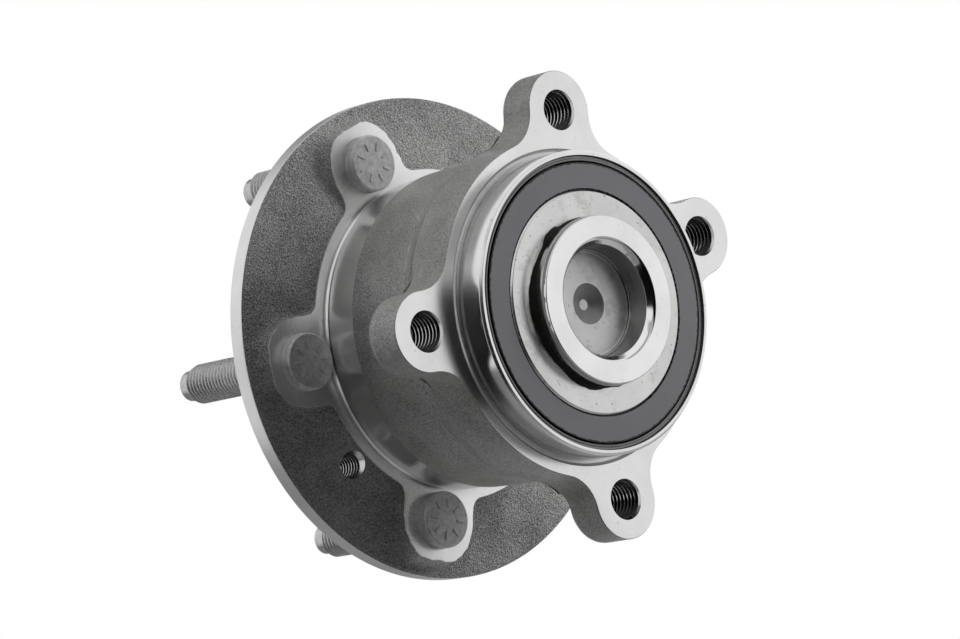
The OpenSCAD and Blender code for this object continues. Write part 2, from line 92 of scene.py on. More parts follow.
class Graph:
    """A material's nodes, with short ways to add and join them."""

    def __init__(self, name: str) -> None:
        """Starts a material that reads Object coordinates.

        Args:
            name: The material's name.
        """
        self.material = bpy.data.materials.new(name)
        self.material.use_nodes = True
        self.nodes = self.material.node_tree.nodes
        self.shader = self.nodes["Principled BSDF"]
        self.coords = self.add("ShaderNodeTexCoord").outputs["Object"]

    def add(self, kind: str, inputs: dict | None = None, **settings: object) -> bpy.types.Node:
        """Adds a node.

        Args:
            kind: The node's type.
            inputs: Values or sockets for the node's inputs, by name or number.
            settings: Settings of the node itself.

        Returns:
            The new node.
        """
        node = self.nodes.new(kind)
        for name, value in settings.items():
            setattr(node, name, value)
        for name, value in (inputs or {}).items():
            self.feed(node.inputs[name], value)
        return node

    def feed(self, socket: Socket, value: Tone | Sequence[float]) -> None:
        """Sets an input to a value, or joins it to another node's output.

        Args:
            socket: The input.
            value: A number, a colour or an output socket.
        """
        if isinstance(value, Socket):
            self.material.node_tree.links.new(value, socket)
        else:
            socket.default_value = value

    def math(self, operation: str, a: Value, b: Value = 0.0, c: Value = 0.0) -> Socket:
        """Adds a Math node.

        Args:
            operation: What it works out.
            a: The first number or socket.
            b: The second one.
            c: The third one.

        Returns:
            The result.
        """
        node = self.add("ShaderNodeMath", operation=operation)
        for socket, value in zip(node.inputs, (a, b, c)):
            self.feed(socket, value)
        return node.outputs[0]

    def noise(self, scale: float, detail: float = 2.0, rough: float = 0.5) -> Socket:
        """Adds a noise on the piece's own coordinates.

        Args:
            scale: How many features there are to a metre.
            detail: How many finer layers it has.
            rough: How strong the finer layers are.

        Returns:
            The noise, from 0 to 1.
        """
        inputs = {"Vector": self.coords, "Scale": scale, "Detail": detail, "Roughness": rough}
        return self.add("ShaderNodeTexNoise", inputs).outputs["Fac"]

    def ramp(self, value: Value, stops: Sequence[tuple[float, Colour | float]]) -> Socket:
        """Adds a colour that runs through stops as a value goes from 0 to 1.

        Args:
            value: The value.
            stops: Each stop's place, and its colour or grey.

        Returns:
            The colour.
        """
        node = self.add("ShaderNodeValToRGB", {"Fac": value})
        elements = node.color_ramp.elements
        while len(elements) < len(stops):
            elements.new(0.5)
        for element, (place, tone) in zip(elements, stops):
            element.position = place
            element.color = (*tone, 1) if isinstance(tone, tuple) else (tone, tone, tone, 1)
        return node.outputs["Color"]

    def mix(self, share: Value, a: Tone, b: Tone) -> Socket:
        """Mixes two colours.

        Args:
            share: How much there is of the second colour, from 0 to 1.
            a: The first colour.
            b: The second colour.

        Returns:
            The mixed colour.
        """
        node = self.add("ShaderNodeMix", data_type="RGBA")
        self.feed(node.inputs["Factor"], share)
        for name, tone in (("A", a), ("B", b)):
            socket = next(s for s in node.inputs if s.name == name and s.type == "RGBA")
            self.feed(socket, (*tone, 1) if isinstance(tone, tuple) else tone)
        return next(s for s in node.outputs if s.type == "RGBA")

    def bump(self, height: Value, distance: float, strength: float = 1.0,
             under: Socket | None = None) -> Socket:
        """Bends the normal by a height.

        Args:
            height: The height, from 0 to 1.
            distance: How far it stands out in metres.
            strength: How much of it shows, below 0 for dents.
            under: Another bump that it lies on.

        Returns:
            The bent normal.
        """
        inputs = {"Height": height, "Distance": distance, "Strength": strength}
        if under is not None:
            inputs["Normal"] = under
        return self.add("ShaderNodeBump", inputs).outputs["Normal"]

    def radius(self) -> Socket:
        """Returns the distance from the axle."""
        parts = self.add("ShaderNodeSeparateXYZ", {"Vector": self.coords}).outputs
        squares = [self.math("MULTIPLY", part, part) for part in (parts[0], parts[2])]
        return self.math("SQRT", self.math("ADD", *squares))

    def depth(self) -> Socket:
        """Returns the place along the axle."""
        return self.add("ShaderNodeSeparateXYZ", {"Vector": self.coords}).outputs[1]

    def finish(self, colour: Tone, roughness: Value, normal: Socket | None = None,
               **constants: object) -> Material:
        """Joins the results to the shader.

        Args:
            colour: The base colour.
            roughness: The roughness.
            normal: The bent normal, if there is one.
            constants: Numbers that are the same all over, by the shader's input names
                with underscores for spaces.

        Returns:
            The finished material.
        """
        tone = (*colour, 1) if isinstance(colour, tuple) else colour
        self.feed(self.shader.inputs["Base Color"], tone)
        self.feed(self.shader.inputs["Roughness"], roughness)
        if normal is not None:
            self.feed(self.shader.inputs["Normal"], normal)
        for name, value in constants.items():
            self.shader.inputs[name.replace("_", " ")].default_value = value
        return self.material


@dataclass(frozen=True)
class Forging:
    """Shot-blasted steel as it comes from the forge, with grain, scale and small scars.

    Attributes:
        name: The material's name.
        dark: Grey of its dark grains.
        light: Grey of its light grains.
        grain: How many grains there are to a metre.
        relief: How far the grains stand out in metres.
        roughness: The usual roughness.
        scars: How bright the scars are, from 0 to 1.
        stain: How much oil there is, from 0 to 1.
        metallic: How much it reflects as bare metal, from 0 to 1.
    """

    name: str
    dark: float
    light: float
    grain: float = 1100.0
    relief: float = 0.00016
    roughness: float = 0.45
    scars: float = 0.5
    stain: float = 0.0
    metallic: float = 1.0

    def build(self) -> Material:
        """Returns the material."""
        g = Graph(self.name)
        fine = g.noise(self.grain, 2.5, 0.6)
        cells = g.add("ShaderNodeTexVoronoi", {"Vector": g.coords, "Scale": self.grain * 0.8})
        cloud = g.noise(60.0, 5.0, 0.62)
        speckle = g.math("MULTIPLY_ADD", fine, 0.7, g.math("MULTIPLY", cloud, 0.3))
        steel = [(tone, tone * 1.01, tone * 0.99) for tone in (self.dark, self.light)]
        tone = g.ramp(speckle, [(0.40, steel[0]), (0.60, steel[1])])
        film = g.ramp(g.noise(26.0, 3.0), [(0.46, 0.0), (0.68, self.stain)])
        tone = g.mix(film, tone, OIL_STAIN)
        marks = g.ramp(g.noise(240.0, 5.0, 0.72), [(0.68, 0.0), (0.72, self.scars)])
        tone = g.mix(marks, tone, BRIGHT_SCAR)
        rough = g.math("MULTIPLY_ADD", fine, 0.2, self.roughness - 0.1)
        low = g.bump(cloud, 0.0012, 0.5)
        pits = g.math("MULTIPLY", cells.outputs["Distance"], 0.6)
        grit = g.bump(g.math("SUBTRACT", fine, pits), self.relief, 1.0, low)
        return g.finish(tone, rough, grit, Metallic=self.metallic)


@dataclass(frozen=True)
class Turned:
    """Steel cut on a lathe: fine rings of tool marks, faint smudges and tiny nicks.

    Attributes:
        name: The material's name.
        tone: Grey of the clean metal.
        roughness: The usual roughness.
        along: Which way the rings run.
        pitch: Distance from ring to ring in metres.
        relief: Depth of the rings in metres.
        smudge: How much the roughness wanders.
        dirt: How much old grease there is, from 0 to 1.
        specks: How dark the nicks are, from 0 to 1.
        metallic: How much it reflects as bare metal, from 0 to 1.
    """

    name: str
    tone: float
    roughness: float = 0.3
    along: Along = Along.FACE
    pitch: float = 0.00025
    relief: float = 0.000004
    smudge: float = 0.12
    dirt: float = 0.0
    specks: float = 0.35
    metallic: float = 1.0

    def build(self) -> Material:
        """Returns the material."""
        g = Graph(self.name)
        run = g.radius() if self.along is Along.FACE else g.depth()
        turns = {"W": g.math("MULTIPLY", run, 1.0 / self.pitch),
                 "Scale": 1.0, "Detail": 3.0, "Roughness": 0.7}
        rings = g.add("ShaderNodeTexNoise", turns, noise_dimensions="1D").outputs["Fac"]
        cloud = g.noise(45.0, 4.0, 0.62)
        nicks = g.ramp(g.noise(800.0, 2.0, 0.5), [(0.70, 0.0), (0.73, 1.0)])
        clean = (self.tone, self.tone, self.tone * 0.995)
        worn, pitted = (tuple(c * share for c in clean) for share in (0.88, 0.3))
        tone = g.mix(g.ramp(cloud, [(0.35, 0.0), (0.7, 1.0)]), clean, worn)
        tone = g.mix(g.math("MULTIPLY", nicks, self.specks), tone, pitted)
        film = g.ramp(g.noise(150.0, 6.0, 0.7), [(0.52, 0.0), (0.66, self.dirt)])
        tone = g.mix(film, tone, DRIED_GREASE)
        spread = g.math("MULTIPLY_ADD", cloud, self.smudge, self.roughness - self.smudge / 2)
        rough = g.math("MULTIPLY_ADD", rings, 0.10, g.math("SUBTRACT", spread, 0.05))
        marks = g.bump(rings, self.relief, 1.0)
        return g.finish(tone, rough, g.bump(nicks, 0.00001, -0.5, marks), Metallic=self.metallic)


@dataclass(frozen=True)
class Plated:
    """Zinc-plated steel with a dull, cloudy skin.

    Attributes:
        name: The material's name.
        dark: Grey of its dark clouds.
        light: Grey of its light clouds.
        roughness: The usual roughness.
        metallic: How much it reflects as bare metal, from 0 to 1.
    """

    name: str
    dark: float
    light: float
    roughness: float = 0.42
    metallic: float = 1.0

    def build(self) -> Material:
        """Returns the material."""
        g = Graph(self.name)
        mottle = g.noise(650.0, 6.0, 0.7)
        tone = g.ramp(mottle, [(0.36, self.dark), (0.66, self.light)])
        rough = g.math("MULTIPLY_ADD", mottle, 0.2, self.roughness - 0.1)
        orange_peel = g.bump(g.noise(1600.0, 3.0, 0.6), 0.00005)
        return g.finish(tone, rough, orange_peel, Metallic=self.metallic)


@dataclass(frozen=True)
class Moulded:
    """Rubber or plastic with a fine grain and specks of dust.

    Attributes:
        name: The material's name.
        colour: Its colour.
        roughness: The usual roughness.
        dust: How much dust lies on it, from 0 to 1.
    """

    name: str
    colour: Colour
    roughness: float = 0.5
    dust: float = 0.25

    def skin(self, g: Graph) -> Socket:
        """Adds the colour of the skin with its dust.

        Args:
            g: The material's nodes.

        Returns:
            The colour.
        """
        cloud = g.noise(90.0, 4.0, 0.6)
        specks = g.ramp(g.noise(1500.0, 1.0, 0.4), [(0.72, 0.0), (0.76, 1.0)])
        darker, lighter = (tuple(c * share for c in self.colour) for share in (0.9, 1.1))
        tone = g.mix(cloud, darker, lighter)
        return g.mix(g.math("MULTIPLY", specks, self.dust), tone, DUST)

    def build(self) -> Material:
        """Returns the material."""
        g = Graph(self.name)
        rough = g.math("MULTIPLY_ADD", g.noise(90.0, 4.0, 0.6), 0.15, self.roughness - 0.07)
        return g.finish(self.skin(g), rough, g.bump(g.noise(2600.0, 3.0, 0.6), 0.00001, 0.7))


@dataclass(frozen=True)
class TrimmedRubber(Moulded):
    """A flat rubber ring whose moulded edges are black and ragged.

    Attributes:
        inner: Radius of the inner edge in metres.
        outer: Radius of the outer edge in metres.
        flash: How far the ragged flash reaches in.
    """

    inner: float = 0.0334
    outer: float = 0.0413
    flash: float = 0.0005

    def build(self) -> Material:
        """Returns the material."""
        g = Graph(self.name)
        wander = g.math("SUBTRACT", g.noise(900.0, 4.0, 0.7), 0.5)
        ragged = g.math("MULTIPLY", wander, self.flash * 3)
        run = g.math("ADD", g.radius(), ragged)
        beyond = g.math("GREATER_THAN", run, self.outer - self.flash)
        within = g.math("LESS_THAN", run, self.inner + self.flash * 0.3)
        tone = g.mix(g.math("MAXIMUM", beyond, within), self.skin(g), MOULD_EDGE)
        return g.finish(tone, self.roughness, g.bump(g.noise(2600.0, 3.0, 0.6), 0.00003, 0.9))


@dataclass(frozen=True)
class Grease:
    """Old grease, thick and brown where it lies deep.

    Attributes:
        name: The material's name.
        colour: Its colour where it is thickest.
    """

    name: str
    colour: Colour = (0.004, 0.0038, 0.003)

    def build(self) -> Material:
        """Returns the material."""
        g = Graph(self.name)
        lumps = g.noise(900.0, 4.0, 0.65)
        thin = tuple(c * 5 for c in self.colour)
        tone = g.mix(g.ramp(lumps, [(0.4, 0.0), (0.7, 1.0)]), self.colour, thin)
        rough = g.math("MULTIPLY_ADD", lumps, 0.3, 0.4)
        return g.finish(tone, rough, g.bump(lumps, 0.0003, 0.9), Specular_IOR_Level=0.25)


class Finish(Enum):
    """Every finish on the unit."""

    WEB = Forging("forged_flange_web", 0.16, 0.62, grain=2100.0, relief=0.0007, roughness=0.46,
                  metallic=0.0)
    BODY = Forging("forged_ring_body", 0.23, 0.50, grain=1900.0, relief=0.00012, roughness=0.42,
                   scars=0.2, stain=0.4, metallic=0.4)
    # POCKET is a dark forging for the outboard pocket; in the outer ring's parting-line groove it
    # is painted shade in the crease.
    POCKET = Forging("forged_pocket_and_crease_shade", 0.12, 0.30, grain=900.0)
    # BURR is bright: partly a real burr on the trimmed edge, partly a painted highlight along that
    # edge.
    BURR = Forging("trimmed_edge_painted_highlight", 0.45, 0.75, grain=2500.0, relief=0.00006, roughness=0.5,
                   metallic=0.5)
    RIM = Turned("turned_rim", 0.71, 0.36, Along.BARREL)
    FACE = Turned("turned_face", 0.80, 0.29, relief=0.0000005, smudge=0.08)
    LUG_FACE = Turned("turned_lug_face", 0.77, 0.24, relief=0.000001, smudge=0.06)
    LAND = Turned("turned_land", 0.90, 0.25, Along.BARREL, relief=0.000001, smudge=0.08)
    PILOT = Turned("ground_pilot", 0.74, 0.17, Along.BARREL, pitch=0.0003, relief=0.0000005,
                   smudge=0.08)
    GROOVE = Turned("undercut_groove", 0.62, 0.3, dirt=0.15)
    BORE = Turned("bore_steel", 0.32, 0.3, dirt=0.7)
    RACE = Turned("ground_race", 0.62, 0.1, Along.BARREL, relief=0.0000005, smudge=0.03)
    RING_FACE = Turned("inner_ring_face", 0.64, 0.25, pitch=0.0004, relief=0.000004, dirt=0.25,
                       specks=0.8)
    LIP = Turned("rolled_lip", 0.80, 0.13, Along.BARREL, relief=0.0000005, smudge=0.06)
    # HOLLOW is a darker grey than the lip, on the recess's deep wall.
    HOLLOW = Turned("hollow_wall", 0.42, 0.26, Along.BARREL, relief=0.000002, dirt=0.2)
    RECESS = Turned("recess_floor", 0.84, 0.50, pitch=0.0009, relief=0.000012, smudge=0.15,
                    dirt=0.3, specks=0.8, metallic=0.6)
    DRILLED = Turned("drilled_centre", 0.3, 0.40, pitch=0.0004, relief=0.00006, dirt=0.5,
                     specks=0.8, metallic=0.5)
    THREAD_TOP = Turned("thread_crest", 0.62, 0.25, Along.BARREL, pitch=0.0005)
    # The thread's root is painted near black: painted shade in the valleys of the tapped threads.
    THREAD_ROOT = Turned("thread_root_painted_shade", 0.055, 0.35, Along.BARREL, pitch=0.0005)
    STUD = Plated("zinc_stud", 0.42, 0.66, 0.5, 0.3)
    STUD_THREAD = Plated("zinc_stud_thread", 0.42, 0.58, 0.35)
    # The stud thread's groove is a darker zinc: painted shade in the thread's valleys.
    STUD_GROOVE = Plated("zinc_stud_groove_painted_shade", 0.16, 0.28, 0.4)
    SEAL_CASE = Turned("pressed_seal_case", 0.24, 0.45, Along.BARREL)
    SLINGER = Turned("pressed_slinger", 0.03, 0.4)
    ENCODER = TrimmedRubber("encoder_rubber", (0.214, 0.216, 0.230), 0.45)
    # RUBBER is black: the seal's lips, and the floor of the gap at the outer ring's mouth, where it
    # is partly sealant and partly painted shade.
    RUBBER = Moulded("seal_rubber", (0.008, 0.008, 0.009), 0.5, 0.1)
    CAGE = Moulded("cage_plastic", (0.30, 0.17, 0.07), 0.45, 0.0)
    BALL = Turned("ball_steel", 0.70, 0.06, relief=0.0000002, smudge=0.02)
    GREASE = Grease("old_grease")


class Paint:
    """Builds each finish once."""

    made: dict[Finish, Material] = {}

    @classmethod
    def get(cls, finish: Finish) -> Material:
        """Finds the material of a finish, and builds it the first time.

        Args:
            finish: The finish.

        Returns:
            Its material.
        """
        if finish not in cls.made:
            cls.made[finish] = finish.value.build()
        return cls.made[finish]


# ---------------------------------------------------------------- modelling tools


def clear_selection() -> None:
    """Leaves edit mode and deselects everything."""
    if bpy.context.object and bpy.context.object.mode != "OBJECT":
        bpy.ops.object.mode_set(mode="OBJECT")
    bpy.ops.object.select_all(action="DESELECT")


def choose(*objects: Piece) -> None:
    """Selects only these objects, and makes the first one active."""
    clear_selection()
    for obj in objects:
        obj.select_set(True)
    bpy.context.view_layer.objects.active = objects[0]


def place(r: float, angle: float, depth: float) -> Vector:
    """Returns the point at a radius, a turn from +X towards +Z and a depth.

    Args:
        r: Radius in millimetres.
        angle: Turn in radians.
        depth: Depth in millimetres.

    Returns:
        The point in metres.
    """
    return Vector((r * math.cos(angle), -depth, r * math.sin(angle))) * MM


def to_world(row: np.ndarray) -> np.ndarray:
    """Turns rows of x, z and depth in millimetres into points in metres."""
    return np.column_stack((row[:, 0], -row[:, 2], row[:, 1])) * MM


def apply_modifier(obj: Piece, kind: str, **settings: object) -> None:
    """Adds a modifier, sets it and applies it.

    Args:
        obj: The piece.
        kind: The modifier's type.
        settings: The modifier's settings.
    """
    choose(obj)
    modifier = obj.modifiers.new(kind.lower(), kind)
    for name, value in settings.items():
        setattr(modifier, name, value)
    bpy.ops.object.modifier_apply(modifier=modifier.name)


def cut(obj: Piece, tool: Piece, operation: str = "DIFFERENCE") -> None:
    """Cuts or joins a mesh with another one, which is then removed.

    Args:
        obj: The piece that is kept.
        tool: The other mesh.
        operation: The boolean's operation.
    """
    apply_modifier(obj, "BOOLEAN", operation=operation, object=tool, solver="EXACT",
                   material_mode="TRANSFER")
    bpy.data.objects.remove(tool)


def mend(obj: Piece) -> None:
    """Closes the slits, narrower than a hair, that cutting can leave along a seam.

    Args:
        obj: The piece.
    """
    choose(obj)
    bpy.ops.object.mode_set(mode="EDIT")
    bpy.ops.mesh.select_all(action="SELECT")
    bpy.ops.mesh.remove_doubles(threshold=2 * MERGE)
    bpy.ops.mesh.dissolve_degenerate(threshold=MERGE)
    bpy.ops.mesh.select_all(action="SELECT")
    bpy.ops.mesh.fill_holes(sides=6)
    bpy.ops.mesh.select_all(action="SELECT")
    bpy.ops.mesh.normals_make_consistent(inside=False)
    bpy.ops.object.mode_set(mode="OBJECT")


def join(objects: Sequence[Piece]) -> Piece:
    """Joins meshes into the first one.

    Args:
        objects: The meshes.

    Returns:
        The first one.
    """
    choose(*objects)
    bpy.ops.object.join()
    return bpy.context.object


def smooth(obj: Piece, weighted: bool = True) -> None:
    """Smooths the shading between faces that meet at a small angle.

    Args:
        obj: The piece.
        weighted: True where large flat faces stay flat.
    """
    choose(obj)
    bpy.ops.object.shade_smooth_by_angle(angle=SMOOTH_ANGLE)
    if weighted:
        apply_modifier(obj, "WEIGHTED_NORMAL", keep_sharp=True, weight=80)


def settle(obj: Piece, name: str, body: str, nodes: Sequence[str] = ()) -> None:
    """Names a finished piece and ties it to its body and the nodes that it stands for.

    Args:
        obj: The piece.
        name: Its name.
        body: The CAD body that it moves with.
        nodes: CAD nodes that it replaces.
    """
    obj.name = obj.data.name = name
    if nodes:
        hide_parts(*nodes)
    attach(obj, body)
    LOG.info("%s: %d faces on %s", name, len(obj.data.polygons), body)


def rotated_copy(obj: Piece, degrees: float) -> Piece:
    """Copies a piece with its own mesh and turns the mesh round the axle.

    Args:
        obj: The piece.
        degrees: How far it turns, from +X towards +Z.

    Returns:
        The copy.
    """
    copy = obj.copy()
    copy.data = obj.data.copy()
    bpy.context.scene.collection.objects.link(copy)
    copy.data.transform(Matrix.Rotation(-math.radians(degrees), 4, "Y"))
    return copy


@dataclass(frozen=True)
class Corner:
    """A corner of a turned profile. The finish is that of the stretch that starts here."""

    r: float
    depth: float
    round: float = 0.0
    finish: Finish | None = None
    steps: int = 4


def rounded(corners: Sequence[Corner], closed: bool = False) -> tuple[list[Point], list[Finish]]:
    """Rounds the corners of a profile.

    Args:
        corners: The profile's corners in order.
        closed: True where the last corner joins the first.

    Returns:
        The points, and the finish of the stretch that starts at each point.
    """
    points: list[Point] = []
    finishes: list[Finish] = []
    current = next(c.finish for c in corners if c.finish)
    count = len(corners)
    for i, corner in enumerate(corners):
        before, after = corners[i - 1], corners[(i + 1) % count]
        entering, current = current, corner.finish or current
        here = np.array((corner.r, corner.depth))
        if corner.round <= 0 or (not closed and i in (0, count - 1)):
            points.append((corner.r, corner.depth))
            finishes.append(current)
            continue
        u = np.array((before.r, before.depth)) - here
        v = np.array((after.r, after.depth)) - here
        lu, lv = np.linalg.norm(u), np.linalg.norm(v)
        u, v = u / lu, v / lv
        half = math.acos(max(-1.0, min(1.0, float(u @ v)))) / 2
        if half > STRAIGHT:
            points.append((corner.r, corner.depth))
            finishes.append(current)
            continue
        back = min(corner.round / math.tan(half), 0.49 * lu, 0.49 * lv)
        r = back * math.tan(half)
        middle = here + (u + v) / np.linalg.norm(u + v) * (r / math.sin(half))
        first, last = here + u * back - middle, here + v * back - middle
        turn = math.atan2(first[0] * last[1] - first[1] * last[0], float(first @ last))
        for k in range(corner.steps + 1):
            a = turn * k / corner.steps
            x = first[0] * math.cos(a) - first[1] * math.sin(a)
            y = first[0] * math.sin(a) + first[1] * math.cos(a)
            points.append((float(middle[0] + x), float(middle[1] + y)))
            finishes.append(entering if k < corner.steps / 2 else current)
    return points, finishes


def arc(centre: Point, r: float, degrees: Sequence[float], finish: Finish) -> list[Corner]:
    """Sets plain corners on a circle.

    Args:
        centre: The circle's centre, as a radius and a depth.
        r: The circle's own radius.
        degrees: Where the corners stand on it, from straight out towards inboard.
        finish: Their finish.

    Returns:
        The corners.
    """
    turns = [math.radians(a) for a in degrees]
    return [Corner(centre[0] + r * math.cos(a), centre[1] + r * math.sin(a), 0.0, finish)
            for a in turns]


def draw_line(points: Sequence[Vector], closed: bool) -> Piece:
    """Draws a line of edges by extruding a point from corner to corner.

    Args:
        points: The corners in metres.
        closed: True where the last corner joins the first.

    Returns:
        The new object, in edit mode with all of it selected.
    """
    clear_selection()
    bpy.ops.mesh.primitive_plane_add(size=0.001, location=(0, 0, 0))
    obj = bpy.context.object
    bpy.ops.object.mode_set(mode="EDIT")
    bpy.ops.mesh.select_all(action="SELECT")
    bpy.ops.mesh.merge(type="CENTER")
    bpy.ops.transform.translate(value=points[0])
    for a, b in zip(points, points[1:]):
        bpy.ops.mesh.extrude_vertices_move(TRANSFORM_OT_translate={"value": b - a})
    bpy.ops.mesh.select_all(action="SELECT")
    if closed:
        edit = bmesh.from_edit_mesh(obj.data)
        for v in edit.verts:
            v.select = len(v.link_edges) == 1
        bpy.ops.mesh.edge_face_add()
        bpy.ops.mesh.select_all(action="SELECT")
    return obj


class Lathe:
    """Turns profiles round the axle, as on a real lathe."""

    @staticmethod
    def turn(corners: Sequence[Corner], steps: int = 180, closed: bool = True) -> Piece:
        """Spins a profile round the axle.

        Args:
            corners: The profile. A closed one is a ring, and an open one starts and ends
                on the axle.
            steps: How many faces it has round the axle.
            closed: True for a ring.

        Returns:
            The turned mesh with its finishes.
        """
        points, finishes = rounded(corners, closed)
        obj = draw_line([Vector((r, -depth, 0)) * MM for r, depth in points], closed)
        bpy.ops.mesh.spin(steps=steps, angle=math.tau, center=(0, 0, 0), axis=(0, 1, 0))
        bpy.ops.mesh.select_all(action="SELECT")
        bpy.ops.mesh.remove_doubles(threshold=MERGE)
        bpy.ops.mesh.normals_make_consistent(inside=False)
        bpy.ops.object.mode_set(mode="OBJECT")
        Lathe.dress(obj, points, finishes, closed)
        return obj

    @staticmethod
    def dress(obj: Piece, points: list[Point], finishes: list[Finish], closed: bool) -> None:
        """Gives each face the finish of the stretch of profile that it was turned from.

        Args:
            obj: The turned mesh.
            points: The profile's points.
            finishes: The finish of the stretch that starts at each point.
            closed: True for a ring.
        """
        used = list(dict.fromkeys(finishes))
        obj.data.materials.clear()
        for finish in used:
            obj.data.materials.append(Paint.get(finish))
        ends = points[1:] + points[:1] if closed else points[1:]
        stretches = np.array([(np.array(a) + np.array(b)) / 2 for a, b in zip(points, ends)])
        slots = [used.index(f) for f in finishes[: len(stretches)]]
        for face in obj.data.polygons:
            co = np.array([obj.data.vertices[i].co for i in face.vertices]) / MM
            middle = np.array((np.hypot(co[:, 0], co[:, 2]).mean(), -co[:, 1].mean()))
            nearest = int(np.argmin(((stretches - middle) ** 2).sum(axis=1)))
            face.material_index = slots[nearest]


@dataclass
class Strip:
    """One closed row of points round the axle, with the finish of the skin after it."""

    points: np.ndarray
    finish: Finish


class Skin:
    """Closed rows of points that are joined into one skin, row after row."""

    MIDDLE = -0.03  # between the two ends of an open skin, in metres along Y

    @staticmethod
    def ring(angles: np.ndarray, r: Number, depth: Number) -> np.ndarray:
        """Makes a row round the axle.

        Args:
            angles: The points' turns in radians.
            r: Their radius, one for all or one each.
            depth: Their depth, one for all or one each.

        Returns:
            The points' x, z and depth.
        """
        r, depth = (np.broadcast_to(value, angles.shape) for value in (r, depth))
        return np.column_stack((r * np.cos(angles), r * np.sin(angles), depth))

    @staticmethod
    def turned(angles: np.ndarray, corners: Sequence[Corner]) -> list[Strip]:
        """Makes the rows of a turned stretch.

        Args:
            angles: The points' turns in radians.
            corners: The stretch's profile.

        Returns:
            A row for each point of the rounded profile.
        """
        return [Strip(Skin.ring(angles, r, depth), finish)
                for (r, depth), finish in zip(*rounded(corners))]

    @staticmethod
    def build(strips: Sequence[Strip], closed: bool) -> Piece:
        """Extrudes the first row from row to row.

        Args:
            strips: The rows in order, all with the same number of points.
            closed: True where the last row joins the first, and False where both ends
                are closed with a face.

        Returns:
            The skin with its finishes.
        """
        count = len(strips[0].points)
        used = list(dict.fromkeys(s.finish for s in strips))
        clear_selection()
        bpy.ops.mesh.primitive_circle_add(vertices=count, radius=0.05, fill_type="NOTHING")
        obj = bpy.context.object
        for finish in used:
            obj.data.materials.append(Paint.get(finish))
        bpy.ops.object.mode_set(mode="EDIT")
        bpy.ops.mesh.select_all(action="SELECT")
        edit = bmesh.from_edit_mesh(obj.data)
        layer = edit.verts.layers.int.new("place")
        edit.verts.ensure_lookup_table()
        for i, (v, co) in enumerate(zip(edit.verts, to_world(strips[0].points))):
            v.co = co
            v[layer] = i
        bmesh.update_edit_mesh(obj.data)
        bpy.ops.mesh.select_mode(type="EDGE")
        for before, strip in zip(strips, strips[1:]):
            bpy.ops.mesh.extrude_edges_move()
            edit = bmesh.from_edit_mesh(obj.data)
            layer = edit.verts.layers.int["place"]
            target = to_world(strip.points)
            slot = used.index(before.finish)
            for v in edit.verts:
                if v.select:
                    v.co = target[v[layer]]
                    for face in v.link_faces:
                        face.material_index = slot
            bmesh.update_edit_mesh(obj.data)
        Skin.close(obj, closed, used.index(strips[0].finish), used.index(strips[-1].finish))
        bpy.ops.mesh.select_mode(type="VERT")
        bpy.ops.mesh.select_all(action="SELECT")
        bpy.ops.mesh.normals_make_consistent(inside=False)
        bpy.ops.object.mode_set(mode="OBJECT")
        return obj

    @staticmethod
    def close(obj: Piece, closed: bool, first: int, last: int) -> None:
        """Bridges the last row to the first one, or puts a face on each end.

        Args:
            obj: The skin, in edit mode.
            closed: True to bridge the ends.
            first: Material slot of the first end, which is the outboard one.
            last: Material slot of the last end, and of the bridge.
        """
        edit = bmesh.from_edit_mesh(obj.data)
        old = set(edit.faces)
        for e in edit.edges:
            e.select = e.is_boundary
        bmesh.update_edit_mesh(obj.data)
        if closed:
            bpy.ops.mesh.bridge_edge_loops()
        else:
            bpy.ops.mesh.edge_face_add()
        edit = bmesh.from_edit_mesh(obj.data)
        for face in edit.faces:
            if face not in old:
                outboard = face.calc_center_median().y > Skin.MIDDLE
                face.material_index = first if outboard and not closed else last
        bmesh.update_edit_mesh(obj.data)


